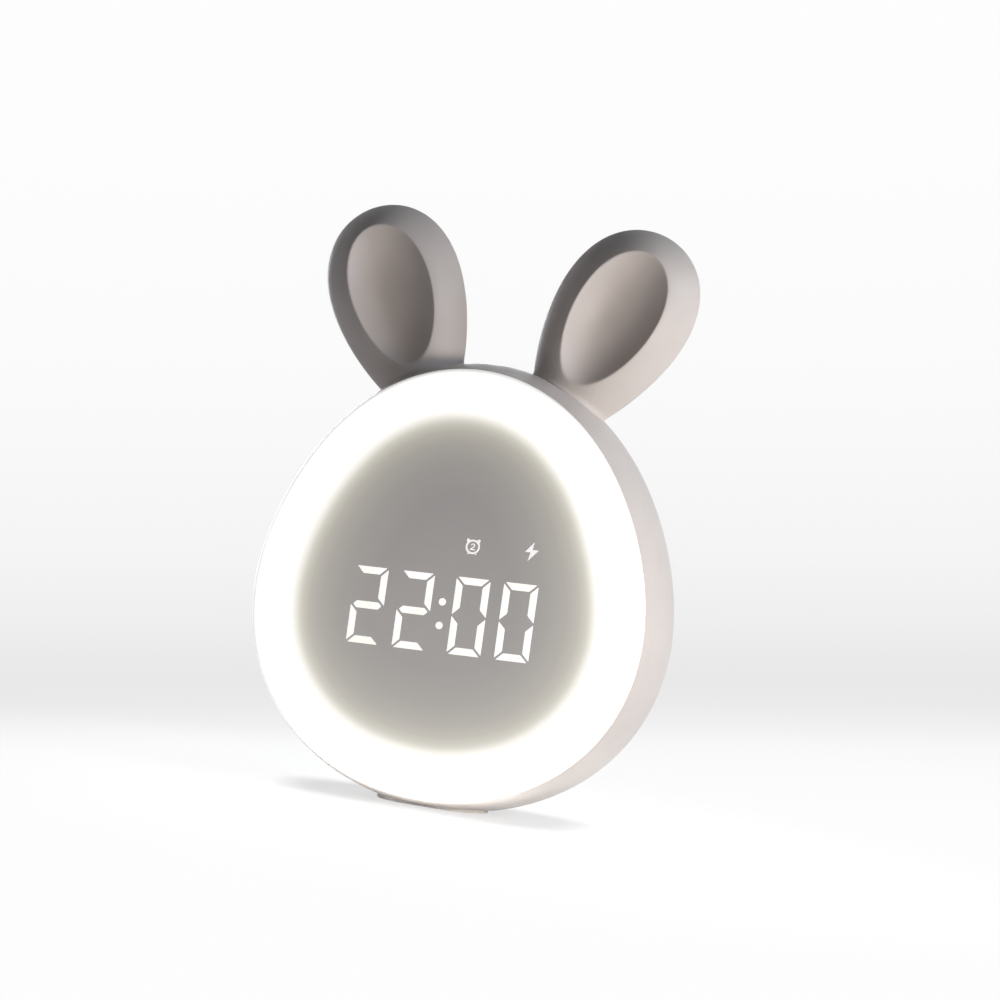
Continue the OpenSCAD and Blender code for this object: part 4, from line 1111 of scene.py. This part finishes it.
def camera_axes():
    """Right, up and back of the camera: 12.3 degrees round, 2.4 below, rolled by 8.1."""
    azimuth, elevation, roll = (math.radians(v) for v in (12.34, -2.38, 8.12))
    ca, sa = math.cos(azimuth), math.sin(azimuth)
    ce, se = math.cos(elevation), math.sin(elevation)
    right, up = Vector((ca, sa, 0)), Vector((-sa * se, ca * se, ce))
    c, s = math.cos(roll), math.sin(roll)
    return c * right + s * up, c * up - s * right, Vector((sa * ce, -ca * ce, se))


def camera():
    """The camera, 650 mm from the middle of the view."""
    across, upwards, back = camera_axes()
    target, distance = Vector((7.85, 0, 98.86)) * MM, 650 * MM
    data = bpy.data.cameras.new("camera")
    data.sensor_width = 36
    data.lens = 73.24
    data.clip_start, data.clip_end = 0.01, 50
    eye = linked("camera", data)
    turned = Matrix((across, upwards, back)).transposed().to_4x4()
    eye.matrix_world = Matrix.Translation(target + back * distance) @ turned
    bpy.context.scene.camera = eye


def lamp(name, place, aim, size, power, colour):
    """A soft light of a width and height at a place, aimed at a point."""
    data = bpy.data.lights.new(name, "AREA")
    data.shape = "RECTANGLE"
    data.size, data.size_y = size
    data.energy = power
    data.color = colour
    light = linked(name, data)
    light.location = place
    light.rotation_mode = "QUATERNION"
    light.rotation_quaternion = (Vector(aim) - Vector(place)).to_track_quat("-Z", "Y")
    light.visible_camera = False


def show_to_eye(tree, seen, lit):
    """Mixes two shaders: seen is for camera, glossy and transmission rays, lit for the rest."""
    path = tree.node("LightPath").outputs
    eye = path["Is Camera Ray"]
    for name in ("Is Glossy Ray", "Is Transmission Ray"):
        eye = tree.math("MAXIMUM", eye, path[name])
    return tree.shaders(eye, lit, seen)


def world():
    """Near white to the eye, with a soft grey band low down, and a dim cool light on the object.

    The band's colour is a ramp over the part of the ray's direction along the camera's up. It
    lies only ahead of the camera: in other directions the world is plain.
    """
    studio = bpy.data.worlds.new("studio")
    bpy.context.scene.world = studio
    tree = Tree(studio)
    tree.nodes.clear()
    up, back = camera_axes()[1:]
    ray = tree.node("TexCoord").outputs["Generated"]

    def along(direction, low, high):
        """The part of the ray's direction along another, from 0 at low to 1 at high."""
        part = tree.node("VectorMath", {0: ray, 1: direction}, operation="DOT_PRODUCT")
        return tree.span(part.outputs["Value"], low, high)

    band = tree.ramp(along(up, -0.2, 0.25), (
        (0.06, WHITE), (0.12, 0.98), (0.16, 0.965), (0.182, 0.94), (0.2, 0.885),
        (0.225, 0.83), (0.25, 0.812), (0.275, 0.825), (0.313, 0.86), (0.38, 0.905),
        (0.444, 0.925), (0.51, 0.945), (0.6, 0.962), (0.8, 0.98), (0.95, WHITE)))
    seen = tree.node("Background", {"Color": tree.mixed(along(-back, 0.86, 0.94), WHITE, band)})
    lit = tree.node("Background", {"Color": (0.5, 0.62, 1), "Strength": 0.012})
    tree.node("OutputWorld", {"Surface": show_to_eye(tree, seen, lit)})


def floor():
    """A pale floor that keeps the clock's shadow, fades out far away, and is clear from below.

    To the eye the floor glows a little less where ambient occlusion finds the clock close, a painted
    contact shadow, and its own shading adds the lamps' shadows.
    """
    points = np.array([[-3, -3, 0], [3, -3, 0], [3, 3, 0], [-3, 3, 0]], float)
    mesh = mesh_of("floor", points, np.array([[0, 1, 2, 3]]))
    material = bpy.data.materials.new("floor")
    tree = Tree(material)
    tree.nodes.clear()
    matt = tree.node("BsdfDiffuse", {"Color": colours().floor})
    dim = tree.node("BsdfDiffuse", {"Color": 0.22})
    # Ambient occlusion dims the floor's glow next to the clock: a painted contact shadow.
    contact_occlusion = tree.node("AmbientOcclusion", {"Distance": 0.017}, samples=16)
    shadow = tree.span(contact_occlusion.outputs["AO"], 0.45, 0.94, 0.66, 0.93)
    near = tree.node("AddShader", {0: dim, 1: tree.node("Emission", {"Strength": shadow})})
    place = tree.node("TexCoord").outputs["Object"]
    distance = tree.node("VectorMath", {0: place}, operation="LENGTH").outputs["Value"]
    fade = tree.span(distance, 0.05, 0.22, interpolation_type="SMOOTHSTEP")
    seen = tree.shaders(fade, near, tree.node("BsdfTransparent"))
    below = tree.node("NewGeometry").outputs["Backfacing"]
    shown = tree.shaders(below, show_to_eye(tree, seen, matt), tree.node("BsdfTransparent"))
    tree.node("OutputMaterial", {"Surface": shown})
    mesh.materials.append(material)
    linked("floor", mesh)


def stage():
    """Floor, world, lamps and camera. The sill and low lamps stand in for light off the table."""
    floor()
    world()
    aim = (0, 0, 0.1)
    lamp("key", (0.26, -0.15, 0.1), aim, (0.165, 0.05), 0.39, (0.98, 0.89, 0.8))
    lamp("side", (0.59, -0.104, 0.36), aim, (0.33, 0.1), 1.35, (0.76, 0.86, 1))
    lamp("front", (-0.06, -0.2, 0.05), (0, 0, 0.17), (0.1, 0.06), 0.026, (1, 0.8, 0.7))
    lamp("sill", (0, -0.024, 0.0004), (0, -0.0165, 0.024), (0.1, 0.004), 0.006, (1, 1, 0.97))
    lamp("low", (0.064, 0, 0.004), (0.035, 0, 0.022), (0.05, 0.016), 0.0018, (1, 0.98, 0.9))
    lamp("back", (-0.6, 1.15, 0.24), aim, (0.9, 0.5), 12.5, (0.88, 0.94, 1))
    camera()
    bpy.context.scene.view_settings.view_transform = "Standard"


# ---- Operators and panel ----


class CLOCK_OT_glow_panel(bpy.types.Operator):
    """Build the domed face with its glowing ring."""

    bl_idname = "clock.glow_panel"
    bl_label = "Glowing face"

    def execute(self, context):
        glow_panel()
        return {"FINISHED"}


class CLOCK_OT_lit_digits(bpy.types.Operator):
    """Build the four lit digits and the colon."""

    bl_idname = "clock.lit_digits"
    bl_label = "Lit digits"

    def execute(self, context):
        lit_digits()
        return {"FINISHED"}


class CLOCK_OT_lit_symbols(bpy.types.Operator):
    """Build the lit alarm and charge symbols."""

    bl_idname = "clock.lit_symbols"
    bl_label = "Lit symbols"

    def execute(self, context):
        lit_symbols()
        return {"FINISHED"}


class CLOCK_OT_front_shell(bpy.types.Operator):
    """Build the front moulding with its two dished ears."""

    bl_idname = "clock.front_shell"
    bl_label = "Front shell"

    def execute(self, context):
        front_shell()
        return {"FINISHED"}


class CLOCK_OT_rear_shell(bpy.types.Operator):
    """Build the rear moulding with its holes and recess."""

    bl_idname = "clock.rear_shell"
    bl_label = "Rear shell"

    def execute(self, context):
        rear_shell()
        return {"FINISHED"}


class CLOCK_OT_button_marks(bpy.types.Operator):
    """Build the printed marks under the buttons."""

    bl_idname = "clock.button_marks"
    bl_label = "Button marks"

    def execute(self, context):
        button_marks()
        return {"FINISHED"}


class CLOCK_OT_node_finishes(bpy.types.Operator):
    """Give the remaining pieces their finishes."""

    bl_idname = "clock.node_finishes"
    bl_label = "Finishes"

    def execute(self, context):
        node_finishes()
        return {"FINISHED"}


class CLOCK_OT_stage(bpy.types.Operator):
    """Set up the floor, the light and the camera."""

    bl_idname = "clock.stage"
    bl_label = "Stage"

    def execute(self, context):
        stage()
        return {"FINISHED"}


OPERATORS = (CLOCK_OT_glow_panel, CLOCK_OT_lit_digits, CLOCK_OT_lit_symbols,
             CLOCK_OT_front_shell, CLOCK_OT_rear_shell, CLOCK_OT_button_marks,
             CLOCK_OT_node_finishes, CLOCK_OT_stage)


class VIEW3D_PT_clock(bpy.types.Panel):
    """Sidebar panel with one button for each step."""

    bl_label = "Night light alarm clock"
    bl_space_type = "VIEW_3D"
    bl_region_type = "UI"
    bl_category = "Clock"

    def draw(self, context):
        for operator in OPERATORS:
            self.layout.operator(operator.bl_idname)


CLASSES = (ClockSizes, ClockColours, *OPERATORS, VIEW3D_PT_clock)


def register():
    for cls in CLASSES:
        bpy.utils.register_class(cls)
    bpy.types.Scene.clock_sizes = PointerProperty(type=ClockSizes)
    bpy.types.Scene.clock_colours = PointerProperty(type=ClockColours)


def unregister():
    del bpy.types.Scene.clock_colours
    del bpy.types.Scene.clock_sizes
    for cls in reversed(CLASSES):
        bpy.utils.unregister_class(cls)


def main():
    """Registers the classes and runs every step."""
    register()
    bpy.ops.clock.glow_panel()
    bpy.ops.clock.lit_digits()
    bpy.ops.clock.lit_symbols()
    bpy.ops.clock.front_shell()
    bpy.ops.clock.rear_shell()
    bpy.ops.clock.button_marks()
    bpy.ops.clock.node_finishes()
    bpy.ops.clock.stage()


if __name__ == "__main__":
    main()
